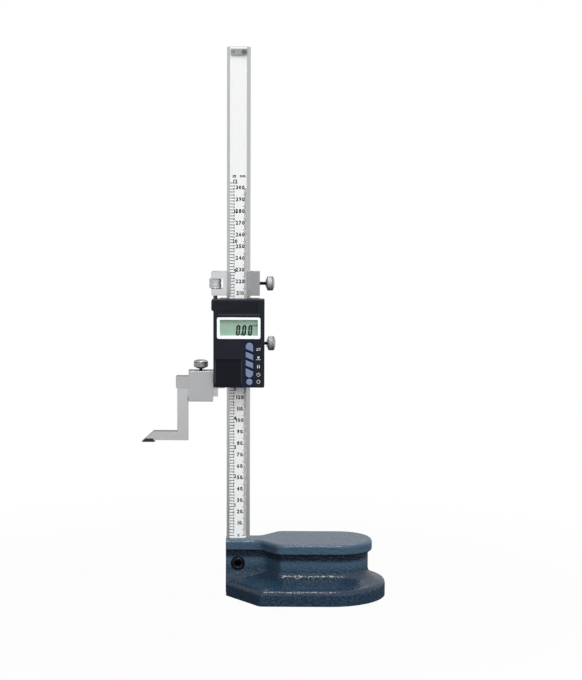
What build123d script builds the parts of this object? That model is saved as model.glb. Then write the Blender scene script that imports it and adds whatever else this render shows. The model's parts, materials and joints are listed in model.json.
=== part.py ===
"""Digital height gauge on a cast base, built as separate pieces.

Frame: +Z up, the base stands on Z = 0. The origin lies under the centre line
of the beam, midway through its thickness. +X runs along the base, away from
the scriber, and -Y faces the user.
"""

from build123d import *
from dataclasses import dataclass
from math import cos, radians, sin, sqrt, tan
import os

os.makedirs("parts", exist_ok=True)

# ---------------------------------------------------------------- driving sizes (mm)
# Clearances
SLIDE_GAP = 0.10  # between flat sliding faces
THREAD_GAP = 0.04  # radial, between a turning thread and its hole
FIT_GAP = 0.03  # between pieces that are fixed in each other
MOULD_GAP = 0.15  # between moulded parts that move

# Cast base
BASE_HEIGHT = 49.0
BASE_NOSE_OVERHANG = 0.5  # casting in front of the beam's left edge
FLANGE_HALF_WIDTH = 48.6
FLANGE_LENGTH = 138.1
FLANGE_SHOULDER = 29.8  # how far the flange takes to reach its full width
FLANGE_SIDE = 9.0  # height of the flange's upright side
FLANGE_CORNER = 6.0
FLARE_RISE = 15.0  # from the flange's side to the neck
FLARE_RIM_SECTIONS = 5
FLARE_SWEEP_SECTIONS = 7
PLATE_HALF_WIDTH = 29.3
PLATE_LENGTH = 126.5
PLATE_THICKNESS = 9.5
PLATE_SHOULDER_START = 29.4
PLATE_SHOULDER_LENGTH = 15.6
PLATE_CORNER = 9.0
PLATE_UPPER_ROUND = 2.6
PLATE_LOWER_ROUND = 1.4
NOSE_HALF_WIDTH = 10.7
NOSE_UNDERCUT = 2.4  # neck set back from the plate at the nose
NECK_UNDERCUT = 3.4  # neck set back from the plate elsewhere
RELIEF_DEPTH = 3.0  # hollow in the underside, so that only a rim touches
RIM_WIDTH = 12.0
SLOT_FLOOR = 10.0
CLAMP_SCREW_HEIGHT = 28.0
CLAMP_SCREW_RADIUS = 3.0
CLAMP_HEAD_RADIUS = 5.0
CLAMP_HEAD_HEIGHT = 5.0
CLAMP_HEAD_GAP = 1.25  # round the head, in the bore that it passes through
CLAMP_HEX = 5.0  # across flats

# Beam and scale
BEAM_WIDTH = 20.0
BEAM_THICKNESS = 6.0
BEAM_TOP = 471.0
BEAM_CHAMFER = 0.4
RAIL_WIDTH = 1.5
RECESS_DEPTH = 0.8
SCALE_DROP = 0.5  # of the scale's upper end, below the beam's top
SCALE_WIDTH = 14.3
SCALE_OFFSET = -0.35  # scale's centre line from the beam's
SCALE_THICKNESS = 0.3
STATOR_THICKNESS = 0.4
SCALE_FOOT_GAP = 0.2

# End stop
STOP_WIDTH = 13.9
STOP_HEIGHT = 5.3
STOP_THICKNESS = 1.4
STOP_DROP = 7.0  # from the beam's top down to the stop's lower edge
STOP_OFFSET = 0.2
STOP_SCREW_OFFSET = 4.4  # from the stop's centre
STOP_SCREW_RADIUS = 1.25
STOP_SCREW_HEAD_RADIUS = 2.1
STOP_SCREW_HEAD_HEIGHT = 1.1
STOP_PIN_OFFSET = -4.6
STOP_PIN_RADIUS = 0.8
STOP_PIN_PROUD = 0.3

# Channel that both the slider and the fine-adjustment block run in
MOUTH_HALF_WIDTH = 6.75
MOUTH_OFFSET = 0.15
LIP_THICKNESS = 3.3
GIB_THICKNESS = 1.8
GIB_DEPTH = 5.6
GIB_END_GAP = 1.0  # how far a gib stops short of the channel's ends

# Slider, which stands part of the way up the beam
SLIDER_BOTTOM = 183.5
SLIDER_HEIGHT = 74.1
SLIDER_LEFT_WALL = 5.7
SLIDER_RIGHT_WALL = 6.3
SLIDER_WEB = 4.3
SLIDER_EDGE = 0.5
JAW_REACH = 37.85  # from the slider's left side
JAW_DROP = 3.1  # below the slider's bottom
JAW_HEIGHT = 10.2
JAW_DEPTH = 8.0
JAW_OVERLAP = 4.1  # of the jaw's root under the slider
JAW_CHAMFER = 0.5
GIB_SCREW_RADIUS = 1.25
GIB_SCREW_LENGTH = 4.0
GIB_SCREW_HEX = 1.3
GIB_SCREW_INSET = 17.0  # from the slider's top and bottom

# Clamp screws with knurled knobs
STEM_RADIUS = 1.45
KNOB_RADIUS = 6.2
KNOB_LENGTH = 7.6
KNOB_HUB_RADIUS = 3.0
KNOB_HUB_LENGTH = 1.1
KNOB_RIM_ROUND = 1.3
KNOB_DOME = 0.7
KNOB_BORE_DEPTH = 5.0
SLIDER_CLAMP_RISE = 35.6  # above the slider's bottom
SLIDER_KNOB_GAP = 1.7  # from the display housing
BLOCK_KNOB_GAP = 5.0  # from the fine-adjustment block
SCRIBER_KNOB_GAP = 1.7  # from the scriber's clamp box

# Fine adjustment
BLOCK_GAP = 3.0  # between the slider and the block
BLOCK_HEIGHT = 20.1
BLOCK_RIGHT_WALL = 6.1
BLOCK_WEB = 3.3
BLOCK_EDGE = 1.1
FINE_SCREW_OFFSET = 4.1  # from the slider's left side to the screw's axis
FINE_SCREW_RADIUS = 2.0
FINE_SCREW_TOP_INSET = 1.7
NUT_RADIUS = 5.2
NUT_HEIGHT = 8.5
NUT_GAP = 0.2  # above and below the nut in its window
NUT_CHAMFER = 0.6
NUT_SIDE_GAP = 1.6  # between the nut and the inner wall of its window
BLOCK_EYE_WALL = 1.3  # left of the screw's hole in the block
BRACKET_EYE_WALL = 1.4  # left of the screw's hole in its bracket
BRACKET_DROP = 0.9  # bracket's top below the slider's
BRACKET_HEIGHT = 9.5
BRACKET_DEPTH = 10.0
BRACKET_ROUND = 1.5

# Scriber, its carbide tip and its clamp
CLAMP_BOX_LENGTH = 20.9
CLAMP_BOX_INSET = 10.95  # from the jaw's end
CLAMP_BOX_DEPTH = 12.0
CLAMP_BOX_ROOF = 4.9
CLAMP_BOX_SOLE = 4.0
CLAMP_BOX_EDGE = 0.5
SCRIBER_DEPTH = 8.0
SHANK_HEIGHT = 7.1
SHANK_TAIL = 4.2  # out of the box on the right
SHANK_NOSE = 9.8  # out of the box on the left, as far as the upright arm's side
ARM_WIDTH = 9.4
SCRIBER_REACH = 45.3  # from the shank's top down to the foot's underside
FOOT_HEIGHT = 7.6
FOOT_LENGTH = 20.5  # from the upright arm to where the bevel starts
BEVEL_SLOPE = 0.905  # drop per millimetre
SCRIBER_EDGE = 0.4
TIP_DROP = 1.6  # below the foot
TIP_SEAT = 1.5  # how far the tip is let into the foot
TIP_SEAT_START = 0.4  # from where the bevel starts, to the left
TIP_BASE_START = 1.1  # from where the bevel starts, to the right

# Display housing
HOUSING_LEFT_OVERHANG = 5.2  # beyond the slider's sides, bottom and top
HOUSING_RIGHT_OVERHANG = 4.1
HOUSING_BOTTOM_OVERHANG = 0.4
HOUSING_TOP_OVERHANG = 0.7
HOUSING_DEPTH = 10.0  # of the front shell
HOUSING_WALL = 1.8
HOUSING_CORNER = 1.0
HOUSING_EDGE = 0.6
BACK_THICKNESS = 1.6
BACK_SLOT_MARGIN = 6.0  # of the back plate above and below its slot
BOARD_THICKNESS = 1.2
BOARD_MARGIN = 0.3
BOSS_RADIUS = 2.2
HOUSING_SCREW_RADIUS = 1.0
HOUSING_SCREW_HEAD_RADIUS = 1.9
HOUSING_SCREW_HEAD_HEIGHT = 1.3
HOUSING_SCREW_BITE = 5.0
HOUSING_SCREW_LEFT_INSET = 8.05
HOUSING_SCREW_RIGHT_INSET = 7.0
HOUSING_SCREW_TOP_INSET = 6.8
HOUSING_SCREW_BOTTOM_INSET = 5.4
HOUSING_SCREW_COVER_GAP = 4.7  # above the battery's cover

# Display
BEZEL_LEFT_INSET = 3.2
BEZEL_RIGHT_INSET = 3.35
BEZEL_TOP_INSET = 15.0
BEZEL_HEIGHT = 18.3
BEZEL_PROUD = 0.3
BEZEL_ROUND = 1.5
BEZEL_BORDER = 2.35
BEZEL_FRAME_BEVEL = 0.5
WINDOW_THICKNESS = 0.9
WINDOW_INSET = 0.9
GLASS_THICKNESS = 1.6
GLASS_OVERLAP = 1.7
CONNECTOR_HEIGHT = 1.6

# Buttons: a slanted column under the display, and a round one under it
BUTTON_RIGHT_INSET = 9.55
BUTTON_WIDTH = 6.25
BUTTON_END = 7.8  # length of the rounded top and bottom buttons
BUTTON_GAP = 2.4
BUTTON_SLANT = 23.0  # degrees
BUTTON_COLUMN_GAP = 3.3  # under the display's bezel
ROUND_BUTTON_GAP = 1.05
ROUND_BUTTON_RADIUS = 2.7
ROUND_BUTTON_MARGIN = 2.25  # above the housing's lower edge
BUTTON_PROUD = 0.6
BUTTON_FLANGE = 0.4
BUTTON_FLANGE_THICKNESS = 0.6
BUTTON_TRAVEL = 0.5
BUTTON_EDGE = 0.25
MAT_THICKNESS = 1.0
MAT_POST_RADIUS = 0.8

# Battery and its cover
BATTERY_RADIUS = 10.0
BATTERY_THICKNESS = 3.2
BATTERY_RISE = 13.6  # of the cell's centre above the housing's bottom
BATTERY_EDGE = 0.3
POCKET_WALL = 1.0
POCKET_GAP = 0.3
POCKET_FLOOR = 0.8
COVER_LEFT_INSET = 2.25
COVER_WIDTH = 20.8
COVER_HEIGHT = 24.2
COVER_INSET = 0.8
COVER_BEVEL = 1.2
COVER_LIP_HEIGHT = 2.9
COVER_TONGUE = 0.7
COVER_TONGUE_THICKNESS = 0.8
LEAF_THICKNESS = 0.3
LEAF_WIDTH = 3.0
LEAF_RISE = 1.0  # above the cell's centre, where the leaf meets the cell
LEAF_FOOT = 4.0  # length of the part that lies on the board
LEAF_SLOPE = 5.0  # length of the part that rises to the cell
LEAF_PAD = 2.0  # length of the part that touches the cell
LEAF_CLEARANCE = 0.5  # beside the leaf, in its slot

# Data port and its cover
PORT_COVER_TOP_INSET = 2.5
PORT_COVER_HEIGHT = 7.9
PORT_COVER_RIGHT_INSET = 6.2
PORT_TONGUE = 0.5
PORT_TONGUE_THICKNESS = 0.7
PORT_RIBS = 17
PORT_RIB_PITCH = 1.7
PORT_RIB_WIDTH = 0.7
PORT_RIB_PROUD = 0.25
PORT_RIB_INSET = 1.35  # last rib's centre from the cover's right end
PORT_WIDTH = 15.8
PORT_MARGIN = 1.25  # between the port and the cover's upper and lower edges
PORT_CONTACTS = 5
PORT_CONTACT_PITCH = 2.6

# Electronics
SENSOR_GAP = 0.5  # between the reading head and the scale
SENSOR_MARGIN = 7.0  # of the housing above and below the reading head
SPACER_INSET = 16.0  # from the slider's ends
SPACER_WIDTH = 8.0
SPACER_HEIGHT = 10.0
CHIP_WIDTH = 9.0
CHIP_HEIGHT = 8.0
CHIP_THICKNESS = 1.2
CHIP_EDGE = 0.5
CHIP_GAP = 5.0  # under the display

# ---------------------------------------------------------------- derived places
NOSE = -BEAM_WIDTH / 2 - BASE_NOSE_OVERHANG
FLARE_TOP = FLANGE_SIDE + FLARE_RISE
PLATE_UNDERSIDE = BASE_HEIGHT - PLATE_THICKNESS
BEAM_FRONT = -BEAM_THICKNESS / 2
BEAM_REAR = BEAM_THICKNESS / 2
STOP_HEIGHT_CENTRE = BEAM_TOP - STOP_DROP + STOP_HEIGHT / 2
SCALE_BACK = BEAM_FRONT + RECESS_DEPTH - STATOR_THICKNESS
SCALE_FRONT = SCALE_BACK - SCALE_THICKNESS
SCALE_BOTTOM = BASE_HEIGHT + SCALE_FOOT_GAP
SCALE_TOP = BEAM_TOP - SCALE_DROP

CHANNEL_LEFT = -BEAM_WIDTH / 2 - SLIDE_GAP
CHANNEL_RIGHT = BEAM_WIDTH / 2 + GIB_THICKNESS + 2 * SLIDE_GAP
CHANNEL_FRONT = BEAM_FRONT - SLIDE_GAP
CHANNEL_REAR = BEAM_REAR + SLIDE_GAP
LIP_FRONT = CHANNEL_FRONT - LIP_THICKNESS
MOUTH_LEFT = MOUTH_OFFSET - MOUTH_HALF_WIDTH
MOUTH_RIGHT = MOUTH_OFFSET + MOUTH_HALF_WIDTH

SLIDER_TOP = SLIDER_BOTTOM + SLIDER_HEIGHT
SLIDER_LEFT = CHANNEL_LEFT - SLIDER_LEFT_WALL
SLIDER_RIGHT = CHANNEL_RIGHT + SLIDER_RIGHT_WALL
SLIDER_REAR = CHANNEL_REAR + SLIDER_WEB
SLIDER_CLAMP_HEIGHT = SLIDER_BOTTOM + SLIDER_CLAMP_RISE
GIB_SCREW_HEIGHTS = (SLIDER_BOTTOM + GIB_SCREW_INSET, SLIDER_TOP - GIB_SCREW_INSET)
JAW_END = SLIDER_LEFT - JAW_REACH
JAW_BOTTOM = SLIDER_BOTTOM - JAW_DROP
JAW_TOP = JAW_BOTTOM + JAW_HEIGHT

FINE_SCREW_X = SLIDER_LEFT - FINE_SCREW_OFFSET
BLOCK_LEFT = FINE_SCREW_X - FINE_SCREW_RADIUS - BLOCK_EYE_WALL
BLOCK_RIGHT = CHANNEL_RIGHT + BLOCK_RIGHT_WALL
BLOCK_REAR = CHANNEL_REAR + BLOCK_WEB
BLOCK_BOTTOM = SLIDER_TOP + BLOCK_GAP
BLOCK_TOP = BLOCK_BOTTOM + BLOCK_HEIGHT
BLOCK_CLAMP_HEIGHT = BLOCK_BOTTOM + BLOCK_HEIGHT / 2
NUT_BOTTOM = BLOCK_CLAMP_HEIGHT - NUT_HEIGHT / 2
NUT_WINDOW_RIGHT = FINE_SCREW_X + NUT_RADIUS + NUT_SIDE_GAP
BRACKET_LEFT = FINE_SCREW_X - FINE_SCREW_RADIUS - BRACKET_EYE_WALL
BRACKET_TOP = SLIDER_TOP - BRACKET_DROP
BRACKET_BOTTOM = BRACKET_TOP - BRACKET_HEIGHT

SHANK_TOP = JAW_BOTTOM - SLIDE_GAP
SHANK_BOTTOM = SHANK_TOP - SHANK_HEIGHT
CLAMP_BOX_LEFT = JAW_END + CLAMP_BOX_INSET
CLAMP_BOX_CENTRE = CLAMP_BOX_LEFT + CLAMP_BOX_LENGTH / 2
CLAMP_BOX_TOP = JAW_TOP + CLAMP_BOX_ROOF
CLAMP_BOX_BOTTOM = SHANK_BOTTOM - SLIDE_GAP - CLAMP_BOX_SOLE
SCRIBER_RIGHT = CLAMP_BOX_LEFT + CLAMP_BOX_LENGTH + SHANK_TAIL
ARM_LEFT = CLAMP_BOX_LEFT - SHANK_NOSE
FOOT_BOTTOM = SHANK_TOP - SCRIBER_REACH
FOOT_TOP = FOOT_BOTTOM + FOOT_HEIGHT
BEVEL_START = ARM_LEFT - FOOT_LENGTH
TIP_TOP = FOOT_BOTTOM + TIP_SEAT
TIP_BOTTOM = FOOT_BOTTOM - TIP_DROP
TIP_RIGHT_TOP = BEVEL_START - TIP_SEAT_START
TIP_RIGHT_BOTTOM = BEVEL_START + TIP_BASE_START

HOUSING_LEFT = SLIDER_LEFT - HOUSING_LEFT_OVERHANG
HOUSING_RIGHT = SLIDER_RIGHT + HOUSING_RIGHT_OVERHANG
HOUSING_BOTTOM = SLIDER_BOTTOM - HOUSING_BOTTOM_OVERHANG
HOUSING_TOP = SLIDER_TOP + HOUSING_TOP_OVERHANG
HOUSING_CENTRE = ((HOUSING_LEFT + HOUSING_RIGHT) / 2, (HOUSING_BOTTOM + HOUSING_TOP) / 2)
HOUSING_SIZE = (HOUSING_RIGHT - HOUSING_LEFT, HOUSING_TOP - HOUSING_BOTTOM)
BACK_FRONT = LIP_FRONT - BACK_THICKNESS
BOARD_FRONT = BACK_FRONT - BOARD_THICKNESS
FACE = BACK_FRONT - HOUSING_DEPTH
INNER_FACE = FACE + HOUSING_WALL

COVER_LEFT = HOUSING_LEFT + COVER_LEFT_INSET
COVER_RIGHT = COVER_LEFT + COVER_WIDTH
COVER_TOP = HOUSING_BOTTOM + COVER_HEIGHT
BATTERY_CENTRE = (COVER_LEFT + COVER_WIDTH / 2, HOUSING_BOTTOM + BATTERY_RISE)
POCKET_FRONT = INNER_FACE + COVER_TONGUE_THICKNESS + MOULD_GAP
BATTERY_BACK = POCKET_FRONT + FIT_GAP + BATTERY_THICKNESS
POCKET_BACK = BATTERY_BACK + FIT_GAP + POCKET_FLOOR
HOUSING_SCREWS = (
    (HOUSING_LEFT + HOUSING_SCREW_LEFT_INSET, COVER_TOP + HOUSING_SCREW_COVER_GAP),
    (HOUSING_LEFT + HOUSING_SCREW_LEFT_INSET, HOUSING_TOP - HOUSING_SCREW_TOP_INSET),
    (HOUSING_RIGHT - HOUSING_SCREW_RIGHT_INSET, HOUSING_BOTTOM + HOUSING_SCREW_BOTTOM_INSET),
    (HOUSING_RIGHT - HOUSING_SCREW_RIGHT_INSET, HOUSING_TOP - HOUSING_SCREW_TOP_INSET),
)

PORT_COVER_TOP = HOUSING_TOP - PORT_COVER_TOP_INSET
PORT_COVER_BOTTOM = PORT_COVER_TOP - PORT_COVER_HEIGHT
PORT_COVER_RIGHT = HOUSING_RIGHT - PORT_COVER_RIGHT_INSET
PORT_CENTRE = PORT_COVER_TOP - PORT_COVER_HEIGHT / 2
PORT_HEIGHT = PORT_COVER_HEIGHT - 2 * PORT_MARGIN
PORT_FLOOR_FRONT = INNER_FACE + PORT_TONGUE_THICKNESS + MOULD_GAP
PORT_FLOOR_BACK = PORT_FLOOR_FRONT + POCKET_FLOOR

BEZEL_LEFT = HOUSING_LEFT + BEZEL_LEFT_INSET
BEZEL_RIGHT = HOUSING_RIGHT - BEZEL_RIGHT_INSET
BEZEL_TOP = HOUSING_TOP - BEZEL_TOP_INSET
BEZEL_BOTTOM = BEZEL_TOP - BEZEL_HEIGHT
BEZEL_CENTRE = ((BEZEL_LEFT + BEZEL_RIGHT) / 2, (BEZEL_BOTTOM + BEZEL_TOP) / 2)
BEZEL_WIDTH = BEZEL_RIGHT - BEZEL_LEFT

BUTTON_RIGHT = HOUSING_RIGHT - BUTTON_RIGHT_INSET
BUTTON_LEFT = BUTTON_RIGHT - BUTTON_WIDTH
BUTTON_CENTRE = BUTTON_RIGHT - BUTTON_WIDTH / 2
BUTTON_COLUMN_TOP = BEZEL_BOTTOM - BUTTON_COLUMN_GAP
ROUND_BUTTON_HEIGHT = HOUSING_BOTTOM + ROUND_BUTTON_MARGIN + ROUND_BUTTON_RADIUS
BUTTON_COLUMN_BOTTOM = ROUND_BUTTON_HEIGHT + ROUND_BUTTON_RADIUS + ROUND_BUTTON_GAP
BUTTON_PITCH = (BUTTON_COLUMN_TOP - BUTTON_COLUMN_BOTTOM) / 2 - BUTTON_END
BUTTON_SPLIT = BUTTON_COLUMN_TOP - BUTTON_END  # first slanted gap, at the column's centre
CAP_BACK = INNER_FACE + BUTTON_FLANGE_THICKNESS + MOULD_GAP
MAT_FRONT = CAP_BACK + BUTTON_TRAVEL + MOULD_GAP
SENSOR_BACK = SCALE_FRONT - SENSOR_GAP
SENSOR_FRONT = SENSOR_BACK - BOARD_THICKNESS


# ---------------------------------------------------------------- helpers
def facing_user(y):
    """Plane at depth y that looks towards the user: local x is X, local y is Z."""
    return Plane.XZ.offset(-y)


def span(low_x, high_x, low_y, high_y):
    """Rectangle between two corners, in the active sketch."""
    with Locations(((low_x + high_x) / 2, (low_y + high_y) / 2)):
        Rectangle(high_x - low_x, high_y - low_y)


# ---------------------------------------------------------------- cast base
@dataclass(frozen=True)
class Outline:
    """Plan of one level of the base: a narrow nose that widens to a round end."""

    nose_half: float
    shoulder_start: float
    shoulder_end: float
    half: float
    end: float
    inner_corner: float
    outer_corner: float

    def draw(self):
        """Draw the outline as a face in the active sketch."""
        centre = self.end - self.half
        corners = [self.inner_corner, self.outer_corner]
        with BuildLine() as rim:
            for side in (-1, 1):
                FilletPolyline(
                    (NOSE, side * self.nose_half),
                    (self.shoulder_start, side * self.nose_half),
                    (self.shoulder_end, side * self.half),
                    (centre, side * self.half),
                    radius=corners,
                )
            ThreePointArc((centre, -self.half), (self.end, 0), (centre, self.half))
            Line((NOSE, -self.nose_half), (NOSE, self.nose_half))
        make_face(rim.line)

    def towards(self, other, share):
        """Outline that lies the given share of the way to another one."""
        mixed = {
            name: (1 - share) * getattr(self, name) + share * getattr(other, name)
            for name in self.__dataclass_fields__
        }
        return Outline(**mixed)


flange_outline = Outline(
    nose_half=NOSE_HALF_WIDTH,
    shoulder_start=NOSE + BASE_NOSE_OVERHANG,
    shoulder_end=NOSE + FLANGE_SHOULDER,
    half=FLANGE_HALF_WIDTH,
    end=NOSE + FLANGE_LENGTH,
    inner_corner=BASE_NOSE_OVERHANG,
    outer_corner=FLANGE_CORNER,
)
plate_outline = Outline(
    nose_half=NOSE_HALF_WIDTH,
    shoulder_start=NOSE + PLATE_SHOULDER_START,
    shoulder_end=NOSE + PLATE_SHOULDER_START + PLATE_SHOULDER_LENGTH,
    half=PLATE_HALF_WIDTH,
    end=NOSE + PLATE_LENGTH,
    inner_corner=PLATE_CORNER,
    outer_corner=PLATE_CORNER,
)
neck_outline = Outline(
    nose_half=NOSE_HALF_WIDTH - NOSE_UNDERCUT,
    shoulder_start=plate_outline.shoulder_start + 2 * NOSE_UNDERCUT,
    shoulder_end=plate_outline.shoulder_end + NOSE_UNDERCUT,
    half=PLATE_HALF_WIDTH - NECK_UNDERCUT,
    end=plate_outline.end - NECK_UNDERCUT,
    inner_corner=PLATE_CORNER,
    outer_corner=PLATE_CORNER - NECK_UNDERCUT,
)
relief_outline = Outline(
    nose_half=NOSE_HALF_WIDTH,
    shoulder_start=flange_outline.shoulder_end,
    shoulder_end=flange_outline.shoulder_end + RIM_WIDTH,
    half=FLANGE_HALF_WIDTH - RIM_WIDTH,
    end=flange_outline.end - RIM_WIDTH,
    inner_corner=FLANGE_CORNER,
    outer_corner=FLANGE_CORNER,
)

# Side view of the flare, as shares of the way from flange to neck and of its
# rise: a quarter-round rim, then a hollow sweep that ends upright at the neck.
RIM_SHARE = 0.14
RIM_RISE = 0.29
RIM_END_ANGLE = radians(78)
SWEEP_START = (RIM_SHARE * (1 - cos(RIM_END_ANGLE)), RIM_RISE * sin(RIM_END_ANGLE))
SWEEP_POINTS = (SWEEP_START, (0.66, 0.52), (1.0, 0.67), (1.0, 1.0))


def rim_step(index):
    """Share and rise of a section of the flare's rounded rim."""
    angle = RIM_END_ANGLE * index / (FLARE_RIM_SECTIONS - 1)
    return RIM_SHARE * (1 - cos(angle)), RIM_RISE * sin(angle)


def sweep_step(index):
    """Share and rise of a section of the hollow sweep, on its cubic curve."""
    t = index / (FLARE_SWEEP_SECTIONS - 1)
    weights = ((1 - t) ** 3, 3 * t * (1 - t) ** 2, 3 * t**2 * (1 - t), t**3)
    return tuple(sum(w * p[axis] for w, p in zip(weights, SWEEP_POINTS)) for axis in (0, 1))


def flare_section(share, rise):
    """Section of the flare, drawn at its height."""
    with BuildSketch(Plane.XY.offset(FLANGE_SIDE + rise * FLARE_RISE)) as section:
        flange_outline.towards(neck_outline, share).draw()
    return section.sketch


with BuildPart() as base:
    with BuildSketch():
        flange_outline.draw()
    extrude(amount=FLANGE_SIDE)
    loft([flare_section(*rim_step(index)) for index in range(FLARE_RIM_SECTIONS)])
    loft([flare_section(*sweep_step(index)) for index in range(FLARE_SWEEP_SECTIONS)])
    with BuildSketch(Plane.XY.offset(FLARE_TOP)):
        neck_outline.draw()
    extrude(amount=PLATE_UNDERSIDE - FLARE_TOP)
    with BuildSketch(Plane.XY.offset(PLATE_UNDERSIDE)):
        plate_outline.draw()
    extrude(amount=PLATE_THICKNESS)
    # round the plate's upper and lower rims, but not the end of the nose
    for level, radius in ((-1, PLATE_UPPER_ROUND), (0, PLATE_LOWER_ROUND)):
        sides = base.faces().filter_by_position(
            Axis.Z, PLATE_UNDERSIDE, BASE_HEIGHT, inclusive=(False, False)
        )
        edges = sides.edges().filter_by_position(Axis.X, NOSE + FIT_GAP, NOSE + PLATE_LENGTH)
        fillet(edges.group_by(Axis.Z)[level], radius)
    # the beam's slot, open at the nose and at the top
    with BuildSketch(Plane.XY.offset(SLOT_FLOOR)):
        span(NOSE, BEAM_WIDTH / 2 + FIT_GAP, BEAM_FRONT - FIT_GAP, BEAM_REAR + FIT_GAP)
    extrude(amount=BASE_HEIGHT - SLOT_FLOOR, mode=Mode.SUBTRACT)
    # the screw's head passes through the front wall and bears on the beam
    with BuildSketch(facing_user(0)):
        with Locations((0, CLAMP_SCREW_HEIGHT)):
            Circle(CLAMP_HEAD_RADIUS + CLAMP_HEAD_GAP)
    extrude(amount=NOSE_HALF_WIDTH, mode=Mode.SUBTRACT)
    with BuildSketch(facing_user(0)):
        with Locations((0, CLAMP_SCREW_HEIGHT)):
            Circle(CLAMP_SCREW_RADIUS + FIT_GAP)
    extrude(amount=-NOSE_HALF_WIDTH, mode=Mode.SUBTRACT)
    # the underside is relieved, so that it stands on a lapped rim
    with BuildSketch():
        relief_outline.draw()
    extrude(amount=RELIEF_DEPTH, mode=Mode.SUBTRACT)
base.part.label = "base"
export_step(base.part, "parts/base.step")

with BuildPart() as beam_clamp_screw:
    with BuildSketch(facing_user(BEAM_FRONT)):
        with Locations((0, CLAMP_SCREW_HEIGHT)):
            Circle(CLAMP_HEAD_RADIUS)
    extrude(amount=CLAMP_HEAD_HEIGHT)
    chamfer(beam_clamp_screw.edges().group_by(Axis.Y)[0], BEAM_CHAMFER)
    with BuildSketch(facing_user(BEAM_FRONT)):
        with Locations((0, CLAMP_SCREW_HEIGHT)):
            Circle(CLAMP_SCREW_RADIUS)
    extrude(amount=-(BEAM_THICKNESS + NOSE_HALF_WIDTH - NOSE_UNDERCUT - BEAM_REAR - BEAM_CHAMFER))
    with BuildSketch(facing_user(BEAM_FRONT - CLAMP_HEAD_HEIGHT)):
        with Locations((0, CLAMP_SCREW_HEIGHT)):
            RegularPolygon(CLAMP_HEX / 2, 6, major_radius=False)
    extrude(amount=-CLAMP_HEAD_HEIGHT / 2, mode=Mode.SUBTRACT)
beam_clamp_screw.part.label = "beam_clamp_screw"
export_step(beam_clamp_screw.part, "parts/beam_clamp_screw.step")

# ---------------------------------------------------------------- beam, scale and end stop
with BuildPart() as beam:
    with BuildSketch(Plane.XY.offset(SLOT_FLOOR)):
        Rectangle(BEAM_WIDTH, BEAM_THICKNESS)
    extrude(amount=BEAM_TOP - SLOT_FLOOR)
    chamfer(beam.faces().sort_by(Axis.Z)[-1].edges(), BEAM_CHAMFER)
    # shallow recess between two rails
    with BuildSketch(facing_user(BEAM_FRONT)):
        recess = BEAM_WIDTH / 2 - RAIL_WIDTH
        span(-recess, recess, SLOT_FLOOR, BEAM_TOP)
    extrude(amount=-RECESS_DEPTH, mode=Mode.SUBTRACT)
    with BuildSketch(facing_user(BEAM_FRONT)):
        with Locations((0, CLAMP_SCREW_HEIGHT)):
            Circle(CLAMP_SCREW_RADIUS + FIT_GAP)
        with Locations((STOP_OFFSET + STOP_SCREW_OFFSET, STOP_HEIGHT_CENTRE)):
            Circle(STOP_SCREW_RADIUS + FIT_GAP)
        with Locations((STOP_OFFSET + STOP_PIN_OFFSET, STOP_HEIGHT_CENTRE)):
            Circle(STOP_PIN_RADIUS + FIT_GAP)
    extrude(amount=-BEAM_THICKNESS, mode=Mode.SUBTRACT)
beam.part.label = "beam"
export_step(beam.part, "parts/beam.step")


def scale_strip(back, thickness):
    """Strip that lies in the beam's recess, with holes for the stop's fixings."""
    with BuildSketch(facing_user(back)) as strip:
        low_x = SCALE_OFFSET - SCALE_WIDTH / 2
        span(low_x, low_x + SCALE_WIDTH, SCALE_BOTTOM, SCALE_TOP)
        with Locations((STOP_OFFSET + STOP_SCREW_OFFSET, STOP_HEIGHT_CENTRE)):
            Circle(STOP_SCREW_RADIUS + FIT_GAP, mode=Mode.SUBTRACT)
        with Locations((STOP_OFFSET + STOP_PIN_OFFSET, STOP_HEIGHT_CENTRE)):
            Circle(STOP_PIN_RADIUS + FIT_GAP, mode=Mode.SUBTRACT)
    extrude(strip.sketch, amount=thickness)


with BuildPart() as stator_strip:
    scale_strip(BEAM_FRONT + RECESS_DEPTH, STATOR_THICKNESS)
stator_strip.part.label = "stator_strip"
export_step(stator_strip.part, "parts/stator_strip.step")

with BuildPart() as scale_plate:
    scale_strip(SCALE_BACK, SCALE_THICKNESS)
scale_plate.part.label = "scale_plate"
export_step(scale_plate.part, "parts/scale_plate.step")

with BuildPart() as end_stop:
    with BuildSketch(facing_user(BEAM_FRONT)):
        with Locations((STOP_OFFSET, STOP_HEIGHT_CENTRE)):
            RectangleRounded(STOP_WIDTH, STOP_HEIGHT, BEAM_CHAMFER)
        with Locations((STOP_OFFSET + STOP_SCREW_OFFSET, STOP_HEIGHT_CENTRE)):
            Circle(STOP_SCREW_RADIUS + FIT_GAP, mode=Mode.SUBTRACT)
        with Locations((STOP_OFFSET + STOP_PIN_OFFSET, STOP_HEIGHT_CENTRE)):
            Circle(STOP_PIN_RADIUS + FIT_GAP, mode=Mode.SUBTRACT)
    extrude(amount=STOP_THICKNESS)
end_stop.part.label = "end_stop"
export_step(end_stop.part, "parts/end_stop.step")

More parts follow.
